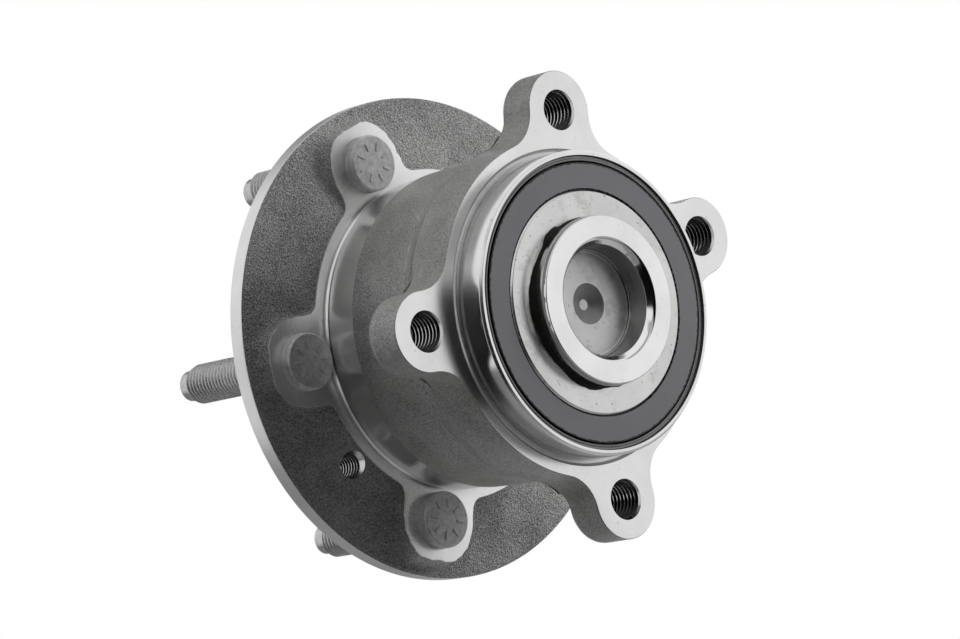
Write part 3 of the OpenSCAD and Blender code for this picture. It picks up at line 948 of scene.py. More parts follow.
@dataclass
class Arms:
    """The outline of a disc with arms that blend into it with fillets.

    WAVES are the waves that a forged outline wanders in: how often each one repeats
    along X and Z, in radians to a millimetre, and its start.

    Attributes:
        disc: Radius of the disc.
        reach: Radius of the circle through the middles of the arms' ends.
        half: Half the width of an arm, and the radius of its end.
        fillet: Fillet between an arm and the disc.
        angles: Directions of the arms in degrees.
        cap: Circle that cuts the ends off, or 0.
        spacing: Distance between points on the disc.
    """

    disc: float
    reach: float
    half: float
    fillet: float
    angles: Sequence[float]
    cap: float = 0.0
    spacing: float = 1.6
    points: np.ndarray = field(init=False)
    normals: np.ndarray = field(init=False)
    WAVES: ClassVar = ((0.9, 0.4, 1.0), (-0.5, 1.3, 4.0), (1.7, 1.1, 2.5), (0.6, -2.1, 0.3),
                       (2.9, -1.2, 5.1))

    def __post_init__(self) -> None:
        """Works out the points of the outline and the directions out of it."""
        turns = sorted(math.radians(a) % math.tau for a in self.angles)
        arm = self.arm()
        reach = math.atan2(arm[-1, 1], arm[-1, 0])
        made = []
        for i, turn in enumerate(turns):
            c, s = math.cos(turn), math.sin(turn)
            made.append(arm @ np.array(((c, s), (-s, c))))
            following = turns[(i + 1) % len(turns)] + (math.tau if i == len(turns) - 1 else 0.0)
            a, b = turn + reach, following - reach
            steps = max(2, round((b - a) * self.disc / self.spacing))
            inner = np.linspace(a, b, steps + 1)[1:-1]
            made.append(self.disc * np.column_stack((np.cos(inner), np.sin(inner))))
        self.points = np.vstack(made)
        tangent = np.roll(self.points, -1, axis=0) - np.roll(self.points, 1, axis=0)
        normal = np.column_stack((tangent[:, 1], -tangent[:, 0]))
        self.normals = normal / np.linalg.norm(normal, axis=1)[:, None]

    def arm(self) -> np.ndarray:
        """Returns the outline of the arm along +X, from one side to the other."""
        cy = self.half + self.fillet
        cx = math.sqrt((self.disc + self.fillet) ** 2 - cy**2)
        tangent = math.atan2(cy, cx)
        fillet = np.linspace(math.pi + tangent, 1.5 * math.pi, 9)
        side = [(cx + self.fillet * math.cos(a), cy + self.fillet * math.sin(a)) for a in fillet]
        side += [(x, self.half) for x in np.linspace(cx, self.reach, 4)[1:-1]]
        end = [(self.reach + self.half * math.cos(a), self.half * math.sin(a))
               for a in np.linspace(math.pi / 2, 0, 13)]
        if self.cap:
            end = [p for p in end if math.hypot(*p) < self.cap]
            a = math.atan2(end[-1][1], end[-1][0])
            end += [(self.cap * math.cos(t), self.cap * math.sin(t))
                    for t in np.linspace(a * 0.93, 0, 7)]
        upper = np.array(side + end)
        if self.cap:
            for _ in range(3):  # softens the corners that the cap leaves
                upper[12:-1] = (upper[11:-2] + 2 * upper[12:-1] + upper[13:]) / 4
        lower = upper[:-1] * (1, -1)
        return np.vstack((lower, upper[::-1]))

    @property
    def turns(self) -> np.ndarray:
        """The points' turns from +X in radians."""
        return np.arctan2(self.points[:, 1], self.points[:, 0])

    @property
    def radii(self) -> np.ndarray:
        """The points' distances from the axle."""
        return np.hypot(self.points[:, 0], self.points[:, 1])

    def roughen(self, size: float) -> None:
        """Lets the outline wander a little, as a forged edge does.

        Args:
            size: The usual distance from the true outline in millimetres.
        """
        wander = np.zeros(len(self.points))
        for along_x, along_z, phase in self.WAVES:
            wander += np.sin(self.points @ (along_x, along_z) + phase)
        arms = np.clip((self.radii - self.disc - 1.0) / 4.0, 0.15, 1.0)
        self.points = self.points + self.normals * (size * arms * wander)[:, None]

    def moved(self, out: Number, depth: Number) -> np.ndarray:
        """Makes the outline a row.

        Args:
            out: How far it is moved out of itself, one for all points or one each.
            depth: Its depth, one for all points or one each.

        Returns:
            The points' x, z and depth.
        """
        out = np.broadcast_to(out, self.radii.shape)
        xy = self.points + self.normals * out[:, None]
        return np.column_stack((xy, np.broadcast_to(depth, self.radii.shape)))


def between(a: np.ndarray, b: np.ndarray, shares: Sequence[float]) -> list[np.ndarray]:
    """Makes rows between two rows, going round the axle.

    Args:
        a: The row that they start from.
        b: The row that they end at.
        shares: How far along each one is, from 0 to 1.

    Returns:
        The rows.
    """
    ra, rb = np.hypot(a[:, 0], a[:, 1]), np.hypot(b[:, 0], b[:, 1])
    ta, tb = np.arctan2(a[:, 1], a[:, 0]), np.arctan2(b[:, 1], b[:, 0])
    gap = (tb - ta + math.pi) % math.tau - math.pi
    return [Skin.ring(ta + gap * s, ra + (rb - ra) * s, a[:, 2] + (b[:, 2] - a[:, 2]) * s)
            for s in shares]


def screw(minor: float, major: float, pitch: float, start: float, end: float, low: Finish,
          high: Finish, steps: int = 40) -> Piece:
    """Makes a rod with a thread, along Z from one height to another.

    Args:
        minor: Radius at the bottom of the thread.
        major: Radius at its top.
        pitch: Distance from turn to turn.
        start: Lower end.
        end: Upper end.
        low: Finish at the thread's smallest radius, a darker one that is painted shade in the
            valleys.
        high: Finish of the rest.
        steps: How many faces a turn has.

    Returns:
        The closed rod.
    """
    turns = math.ceil((end - start) / pitch) + 3
    base = start - 1.5 * pitch
    shape = ((0.0, minor), (0.10, minor), (0.42, major), (0.58, major), (0.90, minor),
             (1.0, minor))
    draw_line([Vector((r, 0, base + share * pitch)) * MM for share, r in shape], False)
    bpy.ops.object.mode_set(mode="OBJECT")
    obj = bpy.context.object
    apply_modifier(obj, "SCREW", axis="Z", angle=math.tau, screw_offset=pitch * MM,
                   iterations=turns, steps=steps, render_steps=steps)
    bpy.ops.object.mode_set(mode="EDIT")
    bpy.ops.mesh.select_all(action="SELECT")
    bpy.ops.mesh.remove_doubles(threshold=MERGE)
    for height, side in ((start, {"clear_inner": True}), (end, {"clear_outer": True})):
        bpy.ops.mesh.select_all(action="SELECT")
        bpy.ops.mesh.bisect(plane_co=(0, 0, height * MM), plane_no=(0, 0, 1),
                            threshold=MERGE / 100, use_fill=True, **side)
    bpy.ops.mesh.select_all(action="SELECT")
    bpy.ops.mesh.remove_doubles(threshold=MERGE)
    bpy.ops.mesh.normals_make_consistent(inside=False)
    bpy.ops.object.mode_set(mode="OBJECT")
    obj.data.materials.append(Paint.get(low))
    obj.data.materials.append(Paint.get(high))
    # Faces near the root get the darker finish: painted shade in the thread's valleys.
    limit = (minor + 0.3 * (major - minor)) * MM
    for face in obj.data.polygons:
        face.material_index = 0 if math.hypot(face.center.x, face.center.y) < limit else 1
    return obj


def lay_on_axle(obj: Piece, r: float = 0.0, degrees: float = 0.0) -> None:
    """Turns a mesh from Z to depth, and moves it to a radius and a turn round the axle."""
    obj.data.transform(Matrix.Rotation(math.pi / 2, 4, "X"))
    obj.data.transform(Matrix.Translation(place(r, math.radians(degrees), 0)))


def cylinder(r: float, start: float, end: float, finish: Finish,
             end_r: float | None = None) -> Piece:
    """Makes a cylinder or a cone along Z.

    Args:
        r: Its radius, which is a cone's lower one.
        start: Lower end.
        end: Upper end.
        finish: Its finish.
        end_r: A cone's upper radius.

    Returns:
        The closed cylinder or cone.
    """
    clear_selection()
    bpy.ops.mesh.primitive_cone_add(
        vertices=64, radius1=r * MM, radius2=(r if end_r is None else end_r) * MM,
        depth=(end - start) * MM, location=(0, 0, (start + end) / 2 * MM))
    obj = bpy.context.object
    bpy.ops.object.transform_apply(location=True, rotation=True, scale=True)
    obj.data.materials.append(Paint.get(finish))
    return obj


# ---------------------------------------------------------------- the unit


@dataclass(frozen=True)
class Threaded:
    """A threaded hole through a plate.

    Attributes:
        r: Distance from the axle.
        degrees: Turn from +X.
        minor: Radius of the tapping drill.
        major: Radius at the bottom of the thread.
        pitch: Pitch of the thread.
        start: Outboard mouth.
        end: Inboard mouth.
    """

    r: float
    degrees: float
    minor: float
    major: float
    pitch: float
    start: float
    end: float

    def taps(self) -> list[Piece]:
        """Returns the thread's tap and the two countersinks, in place."""
        over, beyond = 0.9, 1.2  # how far the tap and the countersinks stand out of the plate
        flare = math.tan(math.radians(30))
        tools = [screw(self.minor, self.major, self.pitch, self.start - over, self.end + over,
                       Finish.THREAD_TOP, Finish.THREAD_ROOT)]
        wide, narrow = self.major + 0.1 + beyond * flare, self.minor - 0.3
        length = (wide - narrow) / flare
        first, last = self.start - beyond, self.end + beyond
        tools.append(cylinder(wide, first, first + length, Finish.THREAD_TOP, narrow))
        tools.append(cylinder(narrow, last - length, last, Finish.THREAD_TOP, wide))
        for tool in tools:
            lay_on_axle(tool, self.r, self.degrees)
        return tools

    def cut_into(self, obj: Piece) -> None:
        """Cuts the threaded hole into a mesh."""
        for tool in self.taps():
            cut(obj, tool)


@dataclass(frozen=True)
class Rows:
    """The two rows of balls.

    Attributes:
        circle: Radius of the circle through the balls' middles.
        outboard: Depth of the outboard row.
        inboard: Depth of the inboard row.
        race: Radius of a race's hollow.
        off: How far the hollow's middle is from the ball's.
        contact: Contact angle in degrees.
    """

    circle: float = 37.0
    outboard: float = 31.05
    inboard: float = 62.55
    race: float = 6.604
    off: float = 0.214
    contact: float = 35.0

    def hollow(self, row: float, out: int, side: int) -> Point:
        """Returns the middle of a race's hollow.

        Args:
            row: Depth of the row of balls.
            out: 1 where the middle is farther out than the ball's, and -1 where it is nearer.
            side: 1 where it is farther inboard, and -1 where it is farther outboard.

        Returns:
            Its radius and depth.
        """
        turn = math.radians(self.contact)
        return (self.circle + out * self.off * math.cos(turn),
                row + side * self.off * math.sin(turn))


BALLS = Rows()
STUD_CIRCLE = 57.15
STUD_ANGLES = (34.3, 106.3, 178.3, 250.3, 322.3)
SHANK_R = 6.45
JOURNAL_R = 21.5
SHOULDER_R = 31.35
SEAT_R = 42.4
RING_FACE_DEPTH = 79.55


@dataclass
class Spindle:
    """The flanged spindle: web, pads, ring, pilots, race, journal and rolled lip.

    Attributes:
        pad_depth: Depth of the pads' faces.
        pad_half: Half the width of a pad.
        pad_cap: Radius of the circle that cuts the pads' ends off.
        pad_fillet: Fillet between a pad and the ring.
        flare: How far a pad's foot spreads at most.
        burr: Height of the trimmed edge round the pads.
        rim_r: Radius of the rim.
        rim_t: Thickness of the flange at the rim.
        bevel: Width of the rim's bevels.
        ring_r: Radius of the machined ring.
        web_at_ring: Depth of the web where it meets the ring.
        screw_r: Distance of the disc screw's hole from the axle.
        screw_angle: Its turn from +X in degrees.
        pocket: Depth of the forged pocket.
        pilot_end: How far the pilots stand out of the mounting face.
        wheel_pilot_r: Radius of the wheel's pilot.
        disc_pilot_r: Radius of the brake disc's pilot.
        collar: Depth of the collar next to the bearing.
        journal_end: Depth where the journal starts.
        crown: Depth of the rolled lip's crown.
        recess: Depth of the recess's floor.
        drilled: Depth of the centre drilling's floor.
    """

    pad_depth: float = 12.1
    pad_half: float = 13.6
    pad_cap: float = 69.3
    pad_fillet: float = 4.0
    flare: float = 3.0
    burr: float = 0.12
    rim_r: float = 73.5
    rim_t: float = 6.3
    bevel: float = 0.8
    ring_r: float = 50.6
    web_at_ring: float = 11.3
    screw_r: float = 55.8
    screw_angle: float = 214.3
    pocket: float = 13.0
    pilot_end: float = 15.0
    wheel_pilot_r: float = 33.5
    disc_pilot_r: float = 34.5
    collar: float = 13.0
    journal_end: float = 52.05
    crown: float = 85.15
    recess: float = 76.05
    drilled: float = 73.85

    def web(self, r: Number) -> np.ndarray:
        """Returns the depth of the forged web at a radius."""
        share = (self.rim_r - 0.7 - np.asarray(r)) / (self.rim_r - 0.7 - self.ring_r)
        return self.rim_t + (self.web_at_ring - self.rim_t) * share

    def wheel_side(self) -> list[Corner]:
        """Returns the profile from the pocket's floor over the pilots to the rim."""
        f = Finish
        return [
            Corner(1.5, self.pocket, 0, f.POCKET),
            Corner(22.4, self.pocket, 4.0, f.POCKET, 6),
            Corner(27.5, -self.pilot_end, 0.8, f.FACE, 3),
            Corner(32.75, -self.pilot_end, 0.2, f.PILOT, 2),
            Corner(self.wheel_pilot_r, -13.5, 0.3, f.PILOT, 2),
            Corner(self.wheel_pilot_r, -7.0, 0.2, f.PILOT, 2),
            Corner(self.disc_pilot_r, -6.0, 0.2, f.PILOT, 2),
            Corner(self.disc_pilot_r, -0.9, 0.2, f.GROOVE, 2),
            Corner(34.1, -0.5, 0.2, f.GROOVE, 2),
            Corner(34.1, 0.5, 0.3, f.GROOVE, 3),
            Corner(35.2, 0.5, 0.2, f.GROOVE, 2),
            Corner(35.7, 0.0, 0.1, f.FACE, 2),
            Corner(48.0, 0.0, 0, f.FACE),
            Corner(57.0, 0.0, 0, f.FACE),
            Corner(66.0, 0.0, 0, f.FACE),
            Corner(self.rim_r - self.bevel, 0.0, 0.3, f.RIM, 3),
            Corner(self.rim_r, self.bevel, 0.3, f.RIM, 3),
            Corner(self.rim_r, 5.9, 0.35, f.WEB, 3),
            Corner(self.rim_r - self.bevel, 6.32, 0, f.WEB),
        ]

    def inboard_side(self) -> list[Corner]:
        """Returns the profile from the collar over the race, journal and lip to the axle."""
        f = Finish
        land_r = 33.1
        hollow = BALLS.hollow(BALLS.outboard, 1, 1)
        first, last = (math.degrees(math.asin((r - hollow[0]) / BALLS.race))
                       for r in (land_r, SHOULDER_R))
        race = [*np.linspace(first - 90, -180, 9), *np.linspace(-180, -270 - last, 6)[1:]]
        return [
            *arc((47.05, 12.65), 0.55, np.linspace(270, 190, 5), f.FACE),
            Corner(46.5, self.collar, 0.12, f.FACE, 2),
            Corner(36.6, self.collar, 0, f.FACE),
            *arc((36.6, 16.5), 3.5, np.linspace(265, 180, 6), f.LAND),
            *arc(hollow, BALLS.race, race, f.RACE),
            Corner(SHOULDER_R, self.journal_end, 0.3, f.RACE, 2),
            Corner(JOURNAL_R, self.journal_end, 0.5, f.RACE, 3),
            Corner(JOURNAL_R, RING_FACE_DEPTH, 0, f.LIP),
            Corner(24.5, 79.56, 0.1, f.LIP, 2),
            Corner(24.8, 81.5, 1.2, f.LIP, 4),
            Corner(25.15, 83.1, 2.4, f.LIP, 6),
            Corner(24.7, 84.9, 0.4, f.LIP, 4),
            Corner(20.8, self.crown, 6.0, f.LIP, 4),
            Corner(18.1, 85.02, 1.7, f.LIP, 8),
            Corner(16.45, 83.2, 0.15, f.HOLLOW, 2),
            Corner(16.1, 76.2, 1.6, f.HOLLOW, 7),
            Corner(15.4, 76.25, 0.1, f.RECESS, 2),
            Corner(15.1, self.recess, 0.2, f.RECESS, 2),
            Corner(11.0, self.recess, 0, f.RECESS),
            Corner(6.1, self.recess, 0.12, f.DRILLED, 2),
            Corner(1.6, self.drilled, 0.2, f.RECESS, 2),
            Corner(0.9, self.drilled, 0, f.RECESS),
        ]

    def strips(self, pads: Arms) -> list[Strip]:
        """Makes the rows of the whole forging, from the pocket to the recess.

        Args:
            pads: The outline of the ring and its pads.

        Returns:
            The rows.
        """
        turns = pads.turns
        rows = Skin.turned(turns, self.wheel_side())
        rim = rows[-1].points
        pads.roughen(0.07)
        height = self.pad_depth - self.web(pads.radii)
        out = np.minimum(self.flare, 0.25 + 0.8 * height)  # a higher pad has a wider foot
        reached = np.hypot(*(pads.points + pads.normals * out[:, None]).T)
        bottom = self.web(reached)
        foot = pads.moved(out, bottom)
        rows += [Strip(row, Finish.WEB)
                 for row in between(rim, foot, (0.06, 0.2, 0.4, 0.6, 0.8, 0.94))]
        top = self.pad_depth - self.burr
        for a in np.linspace(1, 0, 8) * math.pi / 2:
            depth = top - (top - bottom) * math.sin(a)
            rows.append(Strip(pads.moved(out * (1 - math.cos(a)), depth), Finish.WEB))
        # The strips at each pad's trimmed edge are painted bright: partly a burr, partly a painted
        # highlight.
        rows[-1].finish = Finish.BURR
        rows.append(Strip(pads.moved(-0.06, self.pad_depth - 0.02), Finish.BURR))
        edge = pads.moved(-0.2, self.pad_depth)
        rows.append(Strip(edge, Finish.FACE))
        inner = Skin.turned(turns, self.inboard_side())
        rows += [Strip(row, Finish.FACE) for row in between(edge, inner[0].points, (0.35, 0.7))]
        return rows + inner

    def build(self) -> None:
        """Builds the spindle."""
        pads = Arms(self.ring_r, STUD_CIRCLE, self.pad_half, self.pad_fillet, STUD_ANGLES,
                    cap=self.pad_cap)
        obj = Skin.build(self.strips(pads), closed=False)
        holes = []
        for angle in STUD_ANGLES:
            hole = cylinder(SHANK_R, -2, self.pad_depth + 1.9, Finish.BORE)
            lay_on_axle(hole, STUD_CIRCLE, angle)
            holes.append(hole)
        cut(obj, join(holes))
        Threaded(self.screw_r, self.screw_angle, minor=3.4, major=4.0, pitch=1.25, start=0.0,
                 end=float(self.web(self.screw_r))).cut_into(obj)
        mend(obj)
        smooth(obj)
        settle(obj, "spindle_forging", "hub", ["hub_spindle"])


@dataclass
class Studs:
    """The five wheel studs, which are all alike.

    Attributes:
        head_r: Radius of the head.
        head_t: Thickness of the head.
        seat: Depth of the pad that it sits on.
        reach: How far the tip stands out of the mounting face.
        core_r: Radius of the core inside the thread.
        tip_r: Radius of the point.
        tip_t: Length of the point.
        dashes: How many plain dashes the head has.
        dash_r: Distance of the dashes' middles from the stud's axis.
        dash_size: Length, height in the head and width of a dash.
    """

    head_r: float = 8.55
    head_t: float = 4.2
    seat: float = 12.1
    reach: float = 42.2
    core_r: float = 5.0
    tip_r: float = 4.65
    tip_t: float = 5.6
    dashes: int = 8
    dash_r: float = 5.0
    dash_size: tuple[float, float, float] = (2.6, 0.7, 0.8)

    def core(self) -> Piece:
        """Turns the head, shank and point round a stud's own axis."""
        f = Finish
        top = self.seat + self.head_t
        return Lathe.turn([
            Corner(0.0, top - 0.35, 0, f.STUD),
            Corner(self.head_r - 0.5, top - 0.32, 0.4, f.STUD, 3),
            Corner(self.head_r, top - 0.9, 0.5, f.STUD, 4),
            Corner(self.head_r, self.seat + 0.25, 0.2, f.STUD, 2),
            Corner(self.head_r - 0.25, self.seat, 0, f.STUD),
            Corner(SHANK_R, self.seat, 0.0, f.STUD),
            Corner(SHANK_R, 3.6, 0.1, f.STUD, 2),
            Corner(5.6, 2.75, 0.1, f.STUD_THREAD, 2),
            Corner(self.core_r, 0.0, 0, f.STUD_THREAD),
            Corner(self.core_r, 6.0 - self.reach, 0, f.STUD_THREAD),
            Corner(self.tip_r, self.tip_t - self.reach, 0.1, f.STUD_THREAD, 2),
            Corner(self.tip_r, 0.9 - self.reach, 0.4, f.STUD_THREAD, 3),
            Corner(3.7, -self.reach, 0.4, f.STUD_THREAD, 3),
            Corner(0.0, -self.reach, 0, f.STUD_THREAD),
        ], steps=72, closed=False)

    def marks(self) -> Piece:
        """Raises a ring of plain short dashes on the head."""
        top = self.seat + self.head_t
        dashes = []
        for i in range(self.dashes):
            clear_selection()
            bpy.ops.mesh.primitive_cube_add(size=1)
            bpy.ops.transform.resize(value=tuple(side * MM for side in self.dash_size))
            bpy.ops.transform.translate(value=(self.dash_r * MM, -(top - 0.36) * MM, 0))
            dash = bpy.context.object
            bpy.ops.object.transform_apply(location=True, rotation=True, scale=True)
            apply_modifier(dash, "BEVEL", width=0.18 * MM, segments=2)
            dash.data.transform(Matrix.Rotation(math.tau * i / self.dashes, 4, "Y"))
            dash.data.materials.append(Paint.get(Finish.STUD))
            dashes.append(dash)
        return join(dashes)

    def build(self) -> None:
        """Builds the studs."""
        core = self.core()
        thread = screw(minor=5.08, major=6.0, pitch=1.5, start=0.4, end=self.reach - 5.8,
                       low=Finish.STUD_GROOVE, high=Finish.STUD_THREAD)
        thread.data.transform(Matrix.Rotation(-math.pi / 2, 4, "X"))
        cut(core, thread, "UNION")
        core = join([core, self.marks()])
        smooth(core)
        core.data.transform(Matrix.Translation(place(STUD_CIRCLE, 0, 0)))
        for i, angle in enumerate(STUD_ANGLES, 1):
            stud = rotated_copy(core, angle)
            settle(stud, f"stud_{i}", "hub", [f"wheel_stud_{i}"])
        bpy.data.objects.remove(core)


@dataclass
class OuterRing:
    """The outer ring: turned land, forged body, lugs, ground pilot and races.

    Attributes:
        plate_r: Radius of the plate between the lugs.
        lug_reach: Distance of the lugs' middles from the axle.
        lug_round: Radius of a lug's end.
        lug_fillet: Fillet between a lug and the plate.
        lug_angles: The lugs' turns from +X in degrees.
        back: Depth of the plate's outboard side.
        face: Depth of the lug faces.
        edge_round: Radius of the forged edges at the most.
        land_r: Radius of the turned land.
        neck_r: Radius of the body where it starts to widen to the plate.
        neck_depth: Depth of that place.
        sweep: How far it widens.
        trim: Width of the bevel round the lug faces.
        pilot_r: Radius of the ground pilot.
        mouth: Depth of the ring's inboard end.
        bore_r: Radius of the bore between the races.
    """

    plate_r: float = 50.3
    lug_reach: float = 58.5
    lug_round: float = 11.8
    lug_fillet: float = 12.0
    lug_angles: tuple[float, ...] = (11.6, 78.4, 177.0, 273.0)
    back: float = 56.25
    face: float = 69.85
    edge_round: float = 3.4
    land_r: float = 47.3
    neck_r: float = 49.4
    neck_depth: float = 52.8
    sweep: float = 4.2
    trim: float = 0.18
    pilot_r: float = 45.0
    mouth: float = 79.65
    bore_r: float = 39.95

    def outboard(self) -> list[Corner]:
        """Returns the profile from the outboard seal seat to the parting line."""
        f = Finish
        return [
            Corner(SEAT_R, 28.0, 0, f.LAND),
            Corner(SEAT_R, 14.2, 0.2, f.LAND, 2),
            Corner(43.0, 13.65, 0.15, f.LAND, 2),
            Corner(46.5, 13.65, 0.25, f.LAND, 2),
            Corner(self.land_r, 14.55, 0.25, f.LAND, 2),
            Corner(self.land_r, 25.55, 0.05, f.LAND, 2),
            Corner(47.45, 25.65, 0.05, f.BODY, 2),
            Corner(48.1, 26.1, 0.5, f.BODY, 4),
            Corner(48.5, 38.0, 0, f.BODY),
            # The parting-line groove gets the dark forging: painted shade in the crease.
            Corner(48.65, 49.75, 0.3, f.POCKET, 3),
            Corner(48.2, 50.65, 0.2, f.POCKET, 3),
            Corner(49.25, 51.15, 0.3, f.BODY, 3),
            Corner(49.35, 52.6, 0, f.BODY),
        ]

    def inboard(self) -> list[Corner]:
        """Returns the profile from the lug face over the groove, pilot and mouth to the seat."""
        f = Finish
        races = []
        for row, side in ((BALLS.inboard, 1), (BALLS.outboard, -1)):
            hollow = BALLS.hollow(row, -1, side)
            seat, bore = (math.degrees(math.acos((r - hollow[0]) / BALLS.race))
                          for r in (SEAT_R, self.bore_r))
            first, last = (seat, -bore) if side > 0 else (bore, -seat)
            races += arc(hollow, BALLS.race, np.linspace(first, last, 9), f.RACE)
        return [
            Corner(46.95, self.face, 0.12, f.GROOVE, 2),
            Corner(46.1, 69.05, 0.4, f.GROOVE, 3),
            Corner(44.65, 69.05, 0.3, f.GROOVE, 3),
            Corner(44.6, 69.9, 0.15, f.PILOT, 2),
            Corner(self.pilot_r, 71.0, 0.3, f.PILOT, 3),
            Corner(self.pilot_r, 75.0, 0, f.PILOT),
            Corner(self.pilot_r, 78.95, 0.25, f.LUG_FACE, 3),
            Corner(44.3, self.mouth, 0.2, f.LUG_FACE, 3),
            Corner(43.35, self.mouth, 0.12, f.BORE, 2),
            # The black stretch at the floor of the gap between the mouth and the seal case is
            # partly sealant and partly painted shade in that deep gap.
            Corner(43.3, 78.85, 0.05, f.RUBBER, 2),
            Corner(43.05, 78.8, 0.02, f.SEAL_CASE, 2),
            Corner(SEAT_R, 78.75, 0.1, f.SEAL_CASE, 2),
            Corner(SEAT_R, 67.0, 0, f.LAND),
            *races,
        ]

    def strips(self, plate: Arms) -> list[Strip]:
        """Makes the rows of the ring, from the outboard seat round to the races.

        Args:
            plate: The outline of the plate and its lugs.

        Returns:
            The rows.
        """
        turns, radii = plate.turns, plate.radii
        rows = Skin.turned(turns, self.outboard())
        for share in np.linspace(0.12, 1, 7):
            a = share * math.pi / 2
            within = radii - 0.002 * (8 - 7 * share)  # keeps the rows apart at the plate's edge
            r = np.minimum(self.neck_r + self.sweep * (1 - math.cos(a)), within)
            depth = self.neck_depth + (self.back - self.neck_depth) * math.sin(a)
            rows.append(Strip(Skin.ring(turns, r, depth), Finish.BODY))
        bend = np.clip((radii - self.plate_r) * 0.55, 0.02, self.edge_round)
        start = plate.moved(-bend, self.back)
        rows += [Strip(row, Finish.BODY) for row in between(rows[-1].points, start, (0.5,))]
        for a in np.linspace(0, 1, 7) * math.pi / 2:
            out, depth = -bend * (1 - math.sin(a)), self.back + bend * (1 - math.cos(a))
            rows.append(Strip(plate.moved(out, depth), Finish.BODY))
        for depth in (self.face - 4.0, self.face - self.trim):
            rows.append(Strip(plate.moved(0.0, depth), Finish.BODY))
        edge = plate.moved(-self.trim, self.face)
        rows.append(Strip(edge, Finish.LUG_FACE))
        inner = Skin.turned(turns, self.inboard())
        rows += [Strip(row, Finish.LUG_FACE) for row in between(edge, inner[0].points, (0.35, 0.7))]
        return rows + inner

    def build(self) -> None:
        """Builds the outer ring."""
        plate = Arms(self.plate_r, self.lug_reach, self.lug_round, self.lug_fillet,
                     self.lug_angles)
        obj = Skin.build(self.strips(plate), closed=True)
        for angle in self.lug_angles:
            Threaded(self.lug_reach, angle, minor=5.25, major=6.0, pitch=1.5, start=self.back,
                     end=self.face).cut_into(obj)
        mend(obj)
        smooth(obj)
        settle(obj, "outer_ring_forging", "outer", ["outer_ring"])


@dataclass
class SealedEnd:
    """What shows at the inboard end: inner ring, encoder, seal case and old grease.

    WAVES are the waves in the grease's edge: how often each one comes round the axle, and
    its start. LUMPS are the places where more of it lies: the turn and the spread in
    degrees, and how far each one widens and raises the bead.

    Attributes:
        face: Depth of the inner ring's end face.
        inner_hollow: Middle of the inner race's hollow, as a radius and a depth.
        lip_r: Radius of the corner under the rolled lip.
    """

    face: float = RING_FACE_DEPTH
    inner_hollow: Point = (37.175, 62.427)
    lip_r: float = 24.3
    WAVES: ClassVar = ((5, 0.3), (11, 2.0), (17, 4.1), (29, 1.1), (43, 5.2), (67, 3.3))
    LUMPS: ClassVar = ((119, 9, 1.3, 1.1), (165, 22, 0.9, 0.9), (194, 30, 0.8, 1.2),
                       (-118, 16, 1.2, 0.8), (-84, 8, 0.5, 0.3))

    def inner_ring(self) -> None:
        """Turns the separate inner ring with its race."""
        f = Finish
        obj = Lathe.turn([
            Corner(JOURNAL_R, 52.07, 0.8, f.RACE, 3),
            Corner(SHOULDER_R, 52.07, 0.5, f.RACE, 3),
            *arc(self.inner_hollow, BALLS.race, np.linspace(-152.0, -231.9, 12), f.RACE),
            Corner(33.1, 79.0, 0.1, f.RING_FACE, 2),
            Corner(32.6, self.face, 0.25, f.RING_FACE, 3),
            Corner(28.0, self.face, 0, f.RING_FACE),
            Corner(21.52, self.face, 0, f.RACE),
        ])
        smooth(obj)
        settle(obj, "inner_ring_turned", "hub", ["inner_ring"])

    def encoder(self) -> None:
        """Turns the rubber encoder with its rolled outer edge."""
        f = Finish
        obj = Lathe.turn([
            Corner(33.45, 78.65, 0, f.ENCODER),
            Corner(40.7, 78.65, 0, f.ENCODER),
            Corner(40.7, 78.05, 0, f.ENCODER),
            Corner(41.3, 78.05, 0.1, f.ENCODER, 2),
            Corner(41.3, 79.24, 0.15, f.ENCODER, 3),
            Corner(33.6, 79.25, 0.15, f.ENCODER, 3),
        ])
        smooth(obj)
        settle(obj, "encoder_ring", "hub", ["magnetic_encoder"])

    def seal_case(self) -> None:
        """Turns the pressed case that holds the inboard seal."""
        f = Finish
        obj = Lathe.turn([
            Corner(42.39, 78.95, 0.12, f.SEAL_CASE, 2),
            Corner(42.39, 72.36, 0.5, f.SEAL_CASE, 3),
            Corner(35.7, 72.36, 0.1, f.SEAL_CASE, 2),
            Corner(35.7, 72.95, 0.1, f.SEAL_CASE, 2),
            Corner(41.8, 72.95, 0.4, f.SEAL_CASE, 3),
            Corner(41.8, 78.95, 0.12, f.SEAL_CASE, 2),
        ])
        smooth(obj)
        settle(obj, "seal_case_turned", "outer", ["inboard_seal_case"])

    def grease(self) -> None:
        """Lays a ragged bead of old grease in the corner round the rolled lip."""
        turns = np.linspace(-math.pi, math.pi, 361)[:-1]
        ragged = sum(np.sin(k * turns + phase) / k**0.35 for k, phase in self.WAVES)
        width = np.full(turns.shape, 0.2)
        height = np.full(turns.shape, 0.25)
        for middle, spread, out, up in self.LUMPS:
            gap = (turns - math.radians(middle) + math.pi) % math.tau - math.pi
            bell = np.exp(-((gap / math.radians(spread)) ** 4))
            width += out * bell
            height += up * bell
        width = np.maximum(0.1, width * (1 + 0.13 * ragged))
        height = np.maximum(0.1, height * (1 + 0.1 * ragged))
        root, floor = self.lip_r, self.face
        rows = [
            (root, floor - 0.1),
            (root, floor + height),
            (root + 0.6, floor + height * 0.97),
            (root + 0.7, floor + height * 0.45),
            (root + 0.8 + width * 0.35, floor + height * 0.16),
            (root + 0.55 + width, floor + 0.06),
            (root + 0.6 + width, floor - 0.1),
        ]
        obj = Skin.build([Strip(Skin.ring(turns, r, depth), Finish.GREASE) for r, depth in rows],
                         closed=True)
        smooth(obj, weighted=False)
        settle(obj, "old_grease_bead", "hub")

    def build(self) -> None:
        """Builds the sealed end."""
        self.inner_ring()
        self.encoder()
        self.seal_case()
        self.grease()


